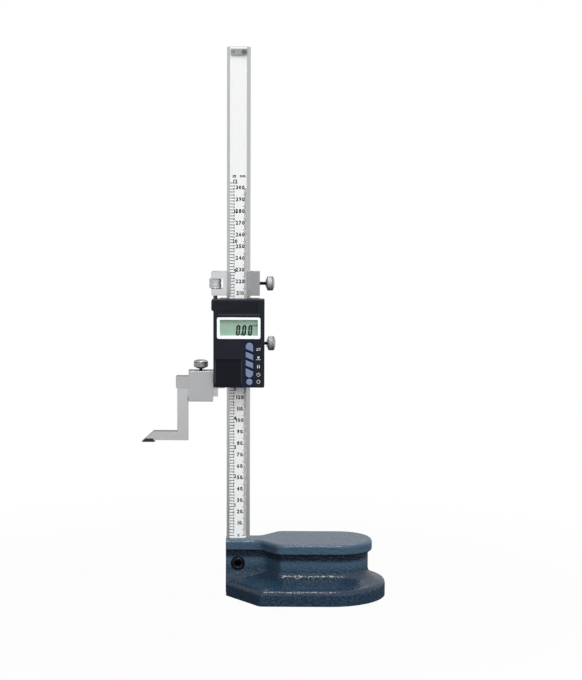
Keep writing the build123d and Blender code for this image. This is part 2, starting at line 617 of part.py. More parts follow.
with BuildPart() as end_stop_screw:
    with BuildSketch(facing_user(BEAM_FRONT - STOP_THICKNESS)):
        with Locations((STOP_OFFSET + STOP_SCREW_OFFSET, STOP_HEIGHT_CENTRE)):
            Circle(STOP_SCREW_HEAD_RADIUS)
    extrude(amount=STOP_SCREW_HEAD_HEIGHT)
    fillet(end_stop_screw.edges().group_by(Axis.Y)[0], BEAM_CHAMFER)
    with BuildSketch(facing_user(BEAM_FRONT - STOP_THICKNESS)):
        with Locations((STOP_OFFSET + STOP_SCREW_OFFSET, STOP_HEIGHT_CENTRE)):
            Circle(STOP_SCREW_RADIUS)
    extrude(amount=-(BEAM_THICKNESS + STOP_THICKNESS - BEAM_CHAMFER))
end_stop_screw.part.label = "end_stop_screw"
export_step(end_stop_screw.part, "parts/end_stop_screw.step")

with BuildPart() as end_stop_pin:
    with BuildSketch(facing_user(BEAM_FRONT - STOP_THICKNESS - STOP_PIN_PROUD)):
        with Locations((STOP_OFFSET + STOP_PIN_OFFSET, STOP_HEIGHT_CENTRE)):
            Circle(STOP_PIN_RADIUS)
    extrude(amount=-(BEAM_THICKNESS + STOP_THICKNESS + STOP_PIN_PROUD - BEAM_CHAMFER))
end_stop_pin.part.label = "end_stop_pin"
export_step(end_stop_pin.part, "parts/end_stop_pin.step")


# ---------------------------------------------------------------- slider with its jaw
def channel_section(left, right, rear, flare):
    """C-section round the beam: a web behind, walls beside and lips in front."""
    with BuildLine() as section:
        Polyline(
            (left, LIP_FRONT),
            (MOUTH_LEFT - flare, LIP_FRONT),
            (MOUTH_LEFT, CHANNEL_FRONT),
            (CHANNEL_LEFT, CHANNEL_FRONT),
            (CHANNEL_LEFT, CHANNEL_REAR),
            (CHANNEL_RIGHT, CHANNEL_REAR),
            (CHANNEL_RIGHT, CHANNEL_FRONT),
            (MOUTH_RIGHT, CHANNEL_FRONT),
            (MOUTH_RIGHT + flare, LIP_FRONT),
            (right, LIP_FRONT),
            (right, rear),
            (left, rear),
            close=True,
        )
    make_face(section.line)


def gib(bottom, top):
    """Strip between the beam's right edge and the channel's wall."""
    with BuildSketch(Plane.XY.offset(bottom)) as section:
        with Locations((BEAM_WIDTH / 2 + SLIDE_GAP + GIB_THICKNESS / 2, 0)):
            Rectangle(GIB_THICKNESS, GIB_DEPTH)
    extrude(section.sketch, amount=top - bottom)


def side_hole(height, radius, end):
    """Hole along X through the right-hand wall, from the channel outwards."""
    with BuildSketch(Plane.YZ.offset(CHANNEL_RIGHT - SLIDE_GAP)) as mouth:
        with Locations((0, height)):
            Circle(radius)
    extrude(mouth.sketch, amount=end - CHANNEL_RIGHT + SLIDE_GAP, mode=Mode.SUBTRACT)


with BuildPart() as slider_frame:
    with BuildSketch(Plane.XY.offset(SLIDER_BOTTOM)):
        channel_section(SLIDER_LEFT, SLIDER_RIGHT, SLIDER_REAR, 0)
    extrude(amount=SLIDER_TOP - SLIDER_BOTTOM)
    outer_corners = slider_frame.edges().filter_by(Axis.Z).group_by(Axis.X)
    fillet(outer_corners[0] + outer_corners[-1], SLIDER_EDGE)
    # the jaw is one piece with the frame
    with BuildSketch(facing_user(-JAW_DEPTH / 2)):
        span(JAW_END, SLIDER_LEFT + JAW_OVERLAP, JAW_BOTTOM, JAW_TOP)
    extrude(amount=-JAW_DEPTH)
    jaw_end_face = slider_frame.faces().sort_by(Axis.X)[0]
    chamfer(jaw_end_face.edges(), JAW_CHAMFER)
    side_hole(SLIDER_CLAMP_HEIGHT, STEM_RADIUS + THREAD_GAP, SLIDER_RIGHT)
    for height in GIB_SCREW_HEIGHTS:
        side_hole(height, GIB_SCREW_RADIUS + FIT_GAP, SLIDER_RIGHT)
    with Locations(*[Plane(origin=(x, SLIDER_REAR, z), z_dir=(0, 1, 0)) for x, z in HOUSING_SCREWS]):
        CounterBoreHole(
            radius=HOUSING_SCREW_RADIUS + FIT_GAP,
            counter_bore_radius=HOUSING_SCREW_HEAD_RADIUS + MOULD_GAP,
            counter_bore_depth=HOUSING_SCREW_HEAD_HEIGHT + MOULD_GAP,
            depth=SLIDER_REAR - LIP_FRONT,
        )
slider_frame.part.label = "slider_frame"
export_step(slider_frame.part, "parts/slider_frame.step")

with BuildPart() as slider_gib:
    gib(SLIDER_BOTTOM + GIB_END_GAP, SLIDER_TOP - GIB_END_GAP)
slider_gib.part.label = "slider_gib"
export_step(slider_gib.part, "parts/slider_gib.step")

with BuildPart() as gib_screws:
    for height in GIB_SCREW_HEIGHTS:
        with BuildSketch(Plane.YZ.offset(CHANNEL_RIGHT)):
            with Locations((0, height)):
                Circle(GIB_SCREW_RADIUS)
        extrude(amount=GIB_SCREW_LENGTH)
        with BuildSketch(Plane.YZ.offset(CHANNEL_RIGHT + GIB_SCREW_LENGTH)):
            with Locations((0, height)):
                RegularPolygon(GIB_SCREW_HEX / 2, 6, major_radius=False)
        extrude(amount=-GIB_SCREW_LENGTH / 2, mode=Mode.SUBTRACT)
gib_screws.part.label = "gib_screws"
export_step(gib_screws.part, "parts/gib_screws.step")

# ---------------------------------------------------------------- fine adjustment
with BuildPart() as screw_bracket:
    with BuildSketch(Plane.XY.offset(BRACKET_BOTTOM)):
        span(BRACKET_LEFT, SLIDER_LEFT, -BRACKET_DEPTH / 2, BRACKET_DEPTH / 2)
        with Locations((FINE_SCREW_X, 0)):
            Circle(FINE_SCREW_RADIUS + FIT_GAP, mode=Mode.SUBTRACT)
    extrude(amount=BRACKET_TOP - BRACKET_BOTTOM)
    fillet(screw_bracket.faces().sort_by(Axis.X)[0].edges(), BRACKET_ROUND)
screw_bracket.part.label = "screw_bracket"
export_step(screw_bracket.part, "parts/screw_bracket.step")

with BuildPart() as fine_adjust_screw:
    with BuildSketch(Plane.XY.offset(BRACKET_BOTTOM)):
        with Locations((FINE_SCREW_X, 0)):
            Circle(FINE_SCREW_RADIUS)
    extrude(amount=BLOCK_TOP - FINE_SCREW_TOP_INSET - BRACKET_BOTTOM)
    chamfer(fine_adjust_screw.edges(), BEAM_CHAMFER)
fine_adjust_screw.part.label = "fine_adjust_screw"
export_step(fine_adjust_screw.part, "parts/fine_adjust_screw.step")

with BuildPart() as fine_adjust_block:
    with BuildSketch(Plane.XY.offset(BLOCK_BOTTOM)):
        channel_section(BLOCK_LEFT, BLOCK_RIGHT, BLOCK_REAR, LIP_THICKNESS)
    extrude(amount=BLOCK_HEIGHT)
    left_corners = fine_adjust_block.edges().filter_by(Axis.Z).group_by(Axis.X)[0]
    fillet(left_corners, BLOCK_EDGE)
    # window for the knurled nut, open to the left, front and rear
    with BuildSketch(facing_user(LIP_FRONT)):
        span(BLOCK_LEFT, NUT_WINDOW_RIGHT, NUT_BOTTOM - NUT_GAP, NUT_BOTTOM + NUT_HEIGHT + NUT_GAP)
    extrude(amount=LIP_FRONT - BLOCK_REAR, mode=Mode.SUBTRACT)
    with BuildSketch(Plane.XY.offset(BLOCK_BOTTOM)):
        with Locations((FINE_SCREW_X, 0)):
            Circle(FINE_SCREW_RADIUS + THREAD_GAP)
    extrude(amount=BLOCK_HEIGHT, mode=Mode.SUBTRACT)
    side_hole(BLOCK_CLAMP_HEIGHT, STEM_RADIUS + THREAD_GAP, BLOCK_RIGHT)
fine_adjust_block.part.label = "fine_adjust_block"
export_step(fine_adjust_block.part, "parts/fine_adjust_block.step")

with BuildPart() as block_gib:
    gib(BLOCK_BOTTOM + GIB_END_GAP, BLOCK_TOP - GIB_END_GAP)
block_gib.part.label = "block_gib"
export_step(block_gib.part, "parts/block_gib.step")

with BuildPart() as fine_adjust_nut:
    with BuildSketch(Plane.XY.offset(NUT_BOTTOM)):
        with Locations((FINE_SCREW_X, 0)):
            Circle(NUT_RADIUS)
            Circle(FINE_SCREW_RADIUS + THREAD_GAP, mode=Mode.SUBTRACT)
    extrude(amount=NUT_HEIGHT)
    nut_rims = fine_adjust_nut.edges().filter_by(GeomType.CIRCLE).sort_by(SortBy.RADIUS)[-2:]
    chamfer(nut_rims, NUT_CHAMFER)
fine_adjust_nut.part.label = "fine_adjust_nut"
export_step(fine_adjust_nut.part, "parts/fine_adjust_nut.step")


# ---------------------------------------------------------------- clamp screws
def knob_profile():
    """Half section of a knob, from its hub to its domed face, before rounding."""
    rim_end = KNOB_LENGTH - KNOB_DOME
    bore = STEM_RADIUS + FIT_GAP
    dome_radius = (KNOB_RADIUS**2 + KNOB_DOME**2) / (2 * KNOB_DOME)
    dome_drop = dome_radius - sqrt(dome_radius**2 - KNOB_RADIUS**2 / 4)
    with BuildLine() as half_section:
        Polyline(
            (0, KNOB_BORE_DEPTH),
            (bore, KNOB_BORE_DEPTH),
            (bore, 0),
            (KNOB_HUB_RADIUS, 0),
            (KNOB_RADIUS, KNOB_HUB_LENGTH),
            (KNOB_RADIUS, rim_end),
        )
        ThreePointArc(
            (KNOB_RADIUS, rim_end),
            (KNOB_RADIUS / 2, KNOB_LENGTH - dome_drop),
            (0, KNOB_LENGTH),
        )
        Line((0, KNOB_LENGTH), (0, KNOB_BORE_DEPTH))
    make_face(half_section.line)


@dataclass(frozen=True)
class ClampScrew:
    """A clamp screw: where its thread starts, where its knob starts and its direction."""

    name: str
    tip: tuple
    direction: tuple
    knob_offset: float

    def plane(self, distance):
        """Section plane at a distance from the tip, holding the screw's axis."""
        start = Vector(*self.tip) + Vector(*self.direction) * distance
        across = Vector(0, 1, 0)
        return Plane(origin=start, x_dir=across, z_dir=across.cross(Vector(*self.direction)))


clamp_screws = (
    ClampScrew(
        name="slider_clamp",
        tip=(CHANNEL_RIGHT, 0, SLIDER_CLAMP_HEIGHT),
        direction=(1, 0, 0),
        knob_offset=HOUSING_RIGHT + SLIDER_KNOB_GAP - CHANNEL_RIGHT,
    ),
    ClampScrew(
        name="block_clamp",
        tip=(CHANNEL_RIGHT, 0, BLOCK_CLAMP_HEIGHT),
        direction=(1, 0, 0),
        knob_offset=BLOCK_RIGHT + BLOCK_KNOB_GAP - CHANNEL_RIGHT,
    ),
    ClampScrew(
        name="scriber_clamp",
        tip=(CLAMP_BOX_CENTRE, 0, JAW_TOP + SLIDE_GAP),
        direction=(0, 0, 1),
        knob_offset=CLAMP_BOX_TOP + SCRIBER_KNOB_GAP - JAW_TOP - SLIDE_GAP,
    ),
)
for screw in clamp_screws:
    with BuildPart() as stem:
        with BuildSketch(screw.plane(0)):
            with Locations((STEM_RADIUS / 2, (screw.knob_offset + KNOB_BORE_DEPTH) / 2)):
                Rectangle(STEM_RADIUS, screw.knob_offset + KNOB_BORE_DEPTH)
        revolve(axis=Axis(screw.tip, screw.direction))
        chamfer(stem.edges().filter_by(GeomType.CIRCLE), BEAM_CHAMFER)
    stem.part.label = f"{screw.name}_stem"
    export_step(stem.part, f"parts/{screw.name}_stem.step")

    with BuildPart() as knob:
        with BuildSketch(screw.plane(screw.knob_offset)):
            knob_profile()
        revolve(axis=Axis(screw.tip, screw.direction))
        rims = knob.edges().filter_by(GeomType.CIRCLE).sort_by(SortBy.RADIUS)[-2:]
        fillet(rims, KNOB_RIM_ROUND)
    knob.part.label = f"{screw.name}_knob"
    export_step(knob.part, f"parts/{screw.name}_knob.step")

# ---------------------------------------------------------------- scriber and its clamp
def bevel_at(height):
    """X of the scriber's sloping end at a height."""
    return BEVEL_START - (FOOT_TOP - height) / BEVEL_SLOPE


def tip_side_at(height):
    """X of the tip's right-hand side at a height."""
    share = (TIP_TOP - height) / (TIP_TOP - TIP_BOTTOM)
    return TIP_RIGHT_TOP + share * (TIP_RIGHT_BOTTOM - TIP_RIGHT_TOP)


with BuildPart() as scriber:
    with BuildSketch(facing_user(-SCRIBER_DEPTH / 2)):
        with BuildLine():
            Polyline(
                (SCRIBER_RIGHT, SHANK_TOP),
                (ARM_LEFT, SHANK_TOP),
                (ARM_LEFT, FOOT_TOP),
                (BEVEL_START, FOOT_TOP),
                (bevel_at(TIP_TOP), TIP_TOP),
                (TIP_RIGHT_TOP, TIP_TOP),
                (tip_side_at(FOOT_BOTTOM), FOOT_BOTTOM),
                (ARM_LEFT + ARM_WIDTH, FOOT_BOTTOM),
                (ARM_LEFT + ARM_WIDTH, SHANK_BOTTOM),
                (SCRIBER_RIGHT, SHANK_BOTTOM),
                close=True,
            )
        make_face()
    extrude(amount=-SCRIBER_DEPTH)
    arm_corners = scriber.edges().filter_by(Axis.Z).filter_by_position(
        Axis.X, ARM_LEFT - SLIDE_GAP, ARM_LEFT + ARM_WIDTH + SLIDE_GAP
    )
    chamfer(arm_corners, SCRIBER_EDGE)
scriber.part.label = "scriber"
export_step(scriber.part, "parts/scriber.step")

with BuildPart() as scriber_tip:
    with BuildSketch(facing_user(-SCRIBER_DEPTH / 2)):
        with BuildLine():
            Polyline(
                (bevel_at(TIP_TOP), TIP_TOP),
                (TIP_RIGHT_TOP, TIP_TOP),
                (TIP_RIGHT_BOTTOM, TIP_BOTTOM),
                (bevel_at(TIP_BOTTOM), TIP_BOTTOM),
                close=True,
            )
        make_face()
    extrude(amount=-SCRIBER_DEPTH)
scriber_tip.part.label = "scriber_tip"
export_step(scriber_tip.part, "parts/scriber_tip.step")

with BuildPart() as scriber_clamp_box:
    # a rectangular tube that holds the jaw and the scriber's shank together
    with BuildSketch(Plane.YZ.offset(CLAMP_BOX_LEFT)):
        half_depth = CLAMP_BOX_DEPTH / 2
        half_bore = max(JAW_DEPTH, SCRIBER_DEPTH) / 2 + SLIDE_GAP
        span(-half_depth, half_depth, CLAMP_BOX_BOTTOM, CLAMP_BOX_TOP)
        with Locations((0, (SHANK_BOTTOM + JAW_TOP) / 2)):
            Rectangle(2 * half_bore, JAW_TOP - SHANK_BOTTOM + 2 * SLIDE_GAP, mode=Mode.SUBTRACT)
    extrude(amount=CLAMP_BOX_LENGTH)
    outer_edges = scriber_clamp_box.edges().filter_by(Axis.X).filter_by(
        lambda edge: abs(edge.center().Y) > half_bore + SLIDE_GAP
    )
    fillet(outer_edges, CLAMP_BOX_EDGE)
    with BuildSketch(Plane.XY.offset(JAW_TOP)):
        with Locations((CLAMP_BOX_CENTRE, 0)):
            Circle(STEM_RADIUS + THREAD_GAP)
    extrude(amount=CLAMP_BOX_ROOF, mode=Mode.SUBTRACT)
scriber_clamp_box.part.label = "scriber_clamp_box"
export_step(scriber_clamp_box.part, "parts/scriber_clamp_box.step")


# ---------------------------------------------------------------- button outlines
def slanted(height, x):
    """Height at x of a slanted line that crosses the column's centre at a height."""
    return height - (x - BUTTON_CENTRE) * tan(radians(BUTTON_SLANT))


def column_button(index, grow):
    """Face of one of the four buttons in the slanted column, grown by a margin.

    The first and the last end in half circles, the others are parallelograms.
    """
    left = BUTTON_LEFT - grow
    right = BUTTON_RIGHT + grow
    radius = (right - left) / 2
    slack = BUTTON_GAP / 2 - grow / cos(radians(BUTTON_SLANT))
    upper = BUTTON_SPLIT - (index - 1) * BUTTON_PITCH - slack
    lower = BUTTON_SPLIT - index * BUTTON_PITCH + slack
    top_centre = BUTTON_COLUMN_TOP - BUTTON_WIDTH / 2
    bottom_centre = BUTTON_COLUMN_BOTTOM + BUTTON_WIDTH / 2
    with BuildLine() as rim:
        if index == 0:
            ThreePointArc(
                (left, top_centre), (BUTTON_CENTRE, top_centre + radius), (right, top_centre)
            )
            start, end = (left, top_centre), (right, top_centre)
        else:
            start, end = (left, slanted(upper, left)), (right, slanted(upper, right))
            Line(start, end)
        if index == 3:
            ThreePointArc(
                (left, bottom_centre), (BUTTON_CENTRE, bottom_centre - radius), (right, bottom_centre)
            )
            low_start, low_end = (left, bottom_centre), (right, bottom_centre)
        else:
            low_start, low_end = (left, slanted(lower, left)), (right, slanted(lower, right))
            Line(low_start, low_end)
        Line(start, low_start)
        Line(end, low_end)
    make_face(rim.line)


def round_button(grow):
    """Face of the round button under the column, grown by a margin."""
    with Locations((BUTTON_CENTRE, ROUND_BUTTON_HEIGHT)):
        Circle(ROUND_BUTTON_RADIUS + grow)


def button_face(index, grow):
    """Face of button 0 to 4, counted from the top."""
    if index < 4:
        column_button(index, grow)
    else:
        round_button(grow)


# ---------------------------------------------------------------- display housing
with BuildPart() as housing_front:
    with BuildSketch(facing_user(FACE)):
        with Locations(HOUSING_CENTRE):
            RectangleRounded(*HOUSING_SIZE, HOUSING_CORNER)
    extrude(amount=FACE - BACK_FRONT)
    offset(amount=-HOUSING_WALL, openings=housing_front.faces().sort_by(Axis.Y)[-1])
    fillet(housing_front.faces().sort_by(Axis.Y)[0].edges(), HOUSING_EDGE)
    # bosses for the four screws that come through the slider from behind
    with BuildSketch(facing_user(INNER_FACE)):
        with Locations(*HOUSING_SCREWS):
            Circle(BOSS_RADIUS)
    extrude(amount=INNER_FACE - BACK_FRONT)
    # battery pocket: a ring with a floor
    with BuildSketch(facing_user(POCKET_FRONT)):
        with Locations(BATTERY_CENTRE):
            Circle(BATTERY_RADIUS + POCKET_GAP + POCKET_WALL)
    extrude(amount=POCKET_FRONT - POCKET_BACK)
    with BuildSketch(facing_user(POCKET_FRONT)):
        with Locations(BATTERY_CENTRE):
            Circle(BATTERY_RADIUS + POCKET_GAP)
    extrude(amount=POCKET_FRONT - BATTERY_BACK - FIT_GAP, mode=Mode.SUBTRACT)
    # floor behind the data port's cover
    with BuildSketch(facing_user(PORT_FLOOR_FRONT)):
        span(
            HOUSING_LEFT + HOUSING_WALL / 2,
            PORT_COVER_RIGHT + 2 * PORT_TONGUE,
            PORT_COVER_BOTTOM - 2 * PORT_TONGUE,
            HOUSING_TOP - HOUSING_WALL / 2,
        )
    extrude(amount=PORT_FLOOR_FRONT - PORT_FLOOR_BACK)
    with BuildSketch(facing_user(INNER_FACE)):
        with Locations(*HOUSING_SCREWS):
            Circle(HOUSING_SCREW_RADIUS + FIT_GAP)
        with Locations((0, PORT_CENTRE)):
            Rectangle(PORT_WIDTH, PORT_HEIGHT)
    extrude(amount=INNER_FACE - BACK_FRONT, mode=Mode.SUBTRACT)
    # opening for the display's bezel
    with BuildSketch(facing_user(FACE)):
        with Locations(BEZEL_CENTRE):
            RectangleRounded(
                BEZEL_WIDTH + 2 * FIT_GAP, BEZEL_HEIGHT + 2 * FIT_GAP, BEZEL_ROUND + FIT_GAP
            )
    extrude(amount=-HOUSING_WALL, mode=Mode.SUBTRACT)
    for index in range(5):
        with BuildSketch(facing_user(FACE)):
            button_face(index, MOULD_GAP)
        extrude(amount=-HOUSING_WALL, mode=Mode.SUBTRACT)
    # battery cover: bevelled surround, opening and groove, all open at the bottom
    with BuildSketch(Plane.XY.offset(HOUSING_BOTTOM)):
        with BuildLine():
            Polyline(
                (COVER_LEFT - MOULD_GAP - COVER_BEVEL, FACE),
                (COVER_LEFT - MOULD_GAP, FACE + COVER_INSET),
                (COVER_LEFT - MOULD_GAP, INNER_FACE),
                (COVER_LEFT - COVER_TONGUE - MOULD_GAP, INNER_FACE),
                (COVER_LEFT - COVER_TONGUE - MOULD_GAP, POCKET_FRONT),
                (COVER_RIGHT + COVER_TONGUE + MOULD_GAP, POCKET_FRONT),
                (COVER_RIGHT + COVER_TONGUE + MOULD_GAP, INNER_FACE),
                (COVER_RIGHT + MOULD_GAP, INNER_FACE),
                (COVER_RIGHT + MOULD_GAP, FACE + COVER_INSET),
                (COVER_RIGHT + MOULD_GAP + COVER_BEVEL, FACE),
                close=True,
            )
        make_face()
    extrude(amount=COVER_TOP + MOULD_GAP - HOUSING_BOTTOM, mode=Mode.SUBTRACT)
    # data port's cover: opening and groove, both open at the left
    with BuildSketch(Plane.YZ.offset(HOUSING_LEFT)):
        with BuildLine():
            Polyline(
                (FACE, PORT_COVER_BOTTOM - MOULD_GAP),
                (INNER_FACE, PORT_COVER_BOTTOM - MOULD_GAP),
                (INNER_FACE, PORT_COVER_BOTTOM - PORT_TONGUE - MOULD_GAP),
                (PORT_FLOOR_FRONT, PORT_COVER_BOTTOM - PORT_TONGUE - MOULD_GAP),
                (PORT_FLOOR_FRONT, PORT_COVER_TOP + PORT_TONGUE + MOULD_GAP),
                (INNER_FACE, PORT_COVER_TOP + PORT_TONGUE + MOULD_GAP),
                (INNER_FACE, PORT_COVER_TOP + MOULD_GAP),
                (FACE, PORT_COVER_TOP + MOULD_GAP),
                close=True,
            )
        make_face()
    extrude(amount=PORT_COVER_RIGHT + MOULD_GAP - HOUSING_LEFT, mode=Mode.SUBTRACT)
    # slot in the pocket's floor for the battery's spring contact
    with BuildSketch(facing_user(BATTERY_BACK)):
        with Locations(BATTERY_CENTRE):
            Rectangle(LEAF_WIDTH + 2 * LEAF_CLEARANCE, 2 * (LEAF_FOOT + LEAF_SLOPE))
    extrude(amount=BATTERY_BACK - POCKET_BACK, mode=Mode.SUBTRACT)
housing_front.part.label = "housing_front"
export_step(housing_front.part, "parts/housing_front.step")

with BuildPart() as housing_back:
    with BuildSketch(facing_user(LIP_FRONT)):
        with Locations(HOUSING_CENTRE):
            RectangleRounded(*HOUSING_SIZE, HOUSING_CORNER)
        # slot that lets the reading head through
        with Locations((MOUTH_OFFSET, HOUSING_CENTRE[1])):
            Rectangle(
                2 * MOUTH_HALF_WIDTH,
                HOUSING_SIZE[1] - 2 * BACK_SLOT_MARGIN,
                mode=Mode.SUBTRACT,
            )
        with Locations(*HOUSING_SCREWS):
            Circle(HOUSING_SCREW_RADIUS + FIT_GAP, mode=Mode.SUBTRACT)
    extrude(amount=BACK_THICKNESS)
housing_back.part.label = "housing_back"
export_step(housing_back.part, "parts/housing_back.step")

with BuildPart() as housing_screws:
    for x, z in HOUSING_SCREWS:
        with BuildSketch(facing_user(SLIDER_REAR - HOUSING_SCREW_HEAD_HEIGHT - MOULD_GAP)):
            with Locations((x, z)):
                Circle(HOUSING_SCREW_RADIUS)
        extrude(amount=SLIDER_REAR - HOUSING_SCREW_HEAD_HEIGHT - BACK_FRONT + HOUSING_SCREW_BITE)
        with BuildSketch(facing_user(SLIDER_REAR - MOULD_GAP)):
            with Locations((x, z)):
                Circle(HOUSING_SCREW_HEAD_RADIUS)
        extrude(amount=HOUSING_SCREW_HEAD_HEIGHT)
        with BuildSketch(facing_user(SLIDER_REAR - MOULD_GAP)):
            with Locations((x, z)):
                Rectangle(2 * HOUSING_SCREW_RADIUS, HOUSING_SCREW_RADIUS / 2)
                Rectangle(HOUSING_SCREW_RADIUS / 2, 2 * HOUSING_SCREW_RADIUS)
        extrude(amount=HOUSING_SCREW_HEAD_HEIGHT / 2, mode=Mode.SUBTRACT)
housing_screws.part.label = "housing_screws"
export_step(housing_screws.part, "parts/housing_screws.step")

# ---------------------------------------------------------------- electronics
with BuildPart() as main_board:
    with BuildSketch(facing_user(BACK_FRONT)):
        with Locations(HOUSING_CENTRE):
            Rectangle(
                HOUSING_SIZE[0] - 2 * (HOUSING_WALL + BOARD_MARGIN),
                HOUSING_SIZE[1] - 2 * (HOUSING_WALL + BOARD_MARGIN),
            )
        with Locations(*HOUSING_SCREWS):
            Circle(BOSS_RADIUS + MOULD_GAP, mode=Mode.SUBTRACT)
    extrude(amount=BOARD_THICKNESS)
main_board.part.label = "main_board"
export_step(main_board.part, "parts/main_board.step")

with BuildPart() as sensor_board:
    with BuildSketch(facing_user(SENSOR_BACK)):
        with Locations((MOUTH_OFFSET, HOUSING_CENTRE[1])):
            Rectangle(2 * (MOUTH_HALF_WIDTH - BOARD_MARGIN), HOUSING_SIZE[1] - 2 * SENSOR_MARGIN)
    extrude(amount=BOARD_THICKNESS)
sensor_board.part.label = "sensor_board"
export_step(sensor_board.part, "parts/sensor_board.step")

with BuildPart() as sensor_spacer:
    with BuildSketch(facing_user(SENSOR_FRONT)):
        for height in (SLIDER_BOTTOM + SPACER_INSET, SLIDER_TOP - SPACER_INSET):
            with Locations((MOUTH_OFFSET, height)):
                Rectangle(SPACER_WIDTH, SPACER_HEIGHT)
    extrude(amount=SENSOR_FRONT - BACK_FRONT)
sensor_spacer.part.label = "sensor_spacer"
export_step(sensor_spacer.part, "parts/sensor_spacer.step")

with BuildPart() as controller_chip:
    with BuildSketch(facing_user(BOARD_FRONT)):
        chip_x = BUTTON_LEFT - CHIP_GAP - CHIP_WIDTH / 2
        with Locations((chip_x, BEZEL_BOTTOM - CHIP_GAP - CHIP_HEIGHT / 2)):
            Rectangle(CHIP_WIDTH, CHIP_HEIGHT)
    extrude(amount=CHIP_THICKNESS)
    chamfer(controller_chip.edges().group_by(Axis.Y)[0], CHIP_EDGE)
controller_chip.part.label = "controller_chip"
export_step(controller_chip.part, "parts/controller_chip.step")

with BuildPart() as display_bezel:
    with BuildSketch(facing_user(INNER_FACE)):
        with Locations(BEZEL_CENTRE):
            RectangleRounded(BEZEL_WIDTH, BEZEL_HEIGHT, BEZEL_ROUND)
            RectangleRounded(
                BEZEL_WIDTH - 2 * BEZEL_BORDER,
                BEZEL_HEIGHT - 2 * BEZEL_BORDER,
                BEZEL_ROUND / 2,
                mode=Mode.SUBTRACT,
            )
    extrude(amount=HOUSING_WALL + BEZEL_PROUD)
    chamfer(display_bezel.faces().sort_by(Axis.Y)[0].inner_wires()[0].edges(), BEZEL_FRAME_BEVEL)
display_bezel.part.label = "display_bezel"
export_step(display_bezel.part, "parts/display_bezel.step")

with BuildPart() as display_window:
    with BuildSketch(facing_user(FACE + WINDOW_INSET + WINDOW_THICKNESS - FIT_GAP)):
        with Locations(BEZEL_CENTRE):
            RectangleRounded(
                BEZEL_WIDTH - 2 * (BEZEL_BORDER + FIT_GAP),
                BEZEL_HEIGHT - 2 * (BEZEL_BORDER + FIT_GAP),
                BEZEL_ROUND / 2,
            )
    extrude(amount=WINDOW_THICKNESS)
display_window.part.label = "display_window"
export_step(display_window.part, "parts/display_window.step")

with BuildPart() as display_glass:
    with BuildSketch(facing_user(INNER_FACE + GLASS_THICKNESS)):
        with Locations(BEZEL_CENTRE):
            Rectangle(
                BEZEL_WIDTH - 2 * (BEZEL_BORDER - GLASS_OVERLAP),
                BEZEL_HEIGHT - 2 * (BEZEL_BORDER - GLASS_OVERLAP),
            )
    extrude(amount=GLASS_THICKNESS)
display_glass.part.label = "display_glass"
export_step(display_glass.part, "parts/display_glass.step")

with BuildPart() as display_connectors:
    # two rubber strips that join the glass to the board
    with BuildSketch(facing_user(BOARD_FRONT)):
        for height in (BEZEL_BOTTOM + BEZEL_BORDER, BEZEL_TOP - BEZEL_BORDER):
            with Locations((BEZEL_CENTRE[0], height)):
                Rectangle(BEZEL_WIDTH - 4 * BEZEL_BORDER, CONNECTOR_HEIGHT)
    extrude(amount=BOARD_FRONT - INNER_FACE - GLASS_THICKNESS)
display_connectors.part.label = "display_connectors"
export_step(display_connectors.part, "parts/display_connectors.step")

# ---------------------------------------------------------------- buttons and keypad
BUTTON_NAMES = (
    "button_units",
    "button_datum",
    "button_hold",
    "button_power",
    "button_zero",
)
for index, name in enumerate(BUTTON_NAMES):
    with BuildPart() as cap:
        with BuildSketch(facing_user(CAP_BACK)):
            button_face(index, 0)
        extrude(amount=CAP_BACK - FACE + BUTTON_PROUD)
        chamfer(cap.faces().sort_by(Axis.Y)[0].edges(), BUTTON_EDGE)
        # flange that keeps the cap behind the housing's wall
        with BuildSketch(facing_user(CAP_BACK)):
            button_face(index, BUTTON_FLANGE)
        extrude(amount=BUTTON_FLANGE_THICKNESS)
    cap.part.label = name
    export_step(cap.part, f"parts/{name}.step")

with BuildPart() as keypad_mat:
    mat_low = ROUND_BUTTON_HEIGHT - ROUND_BUTTON_RADIUS
    mat_high = BUTTON_COLUMN_TOP + BUTTON_FLANGE
    with BuildSketch(facing_user(MAT_FRONT + MAT_THICKNESS)):
        span(BUTTON_LEFT, BUTTON_RIGHT, mat_low, mat_high)
    extrude(amount=MAT_THICKNESS)
    # posts that carry the contact pads down to the board
    with BuildSketch(facing_user(BOARD_FRONT)):
        with Locations((BUTTON_CENTRE, (mat_low + mat_high) / 2)):
            with GridLocations(BUTTON_WIDTH - 3 * MAT_POST_RADIUS, BUTTON_PITCH, 2, 5):
                Circle(MAT_POST_RADIUS)
    extrude(amount=BOARD_FRONT - MAT_FRONT - MAT_THICKNESS)
keypad_mat.part.label = "keypad_mat"
export_step(keypad_mat.part, "parts/keypad_mat.step")

# ---------------------------------------------------------------- battery and covers
with BuildPart() as battery:
    with BuildSketch(facing_user(BATTERY_BACK)):
        with Locations(BATTERY_CENTRE):
            Circle(BATTERY_RADIUS)
    extrude(amount=BATTERY_THICKNESS)
    chamfer(battery.edges().filter_by(GeomType.CIRCLE), BATTERY_EDGE)
battery.part.label = "battery"
export_step(battery.part, "parts/battery.step")

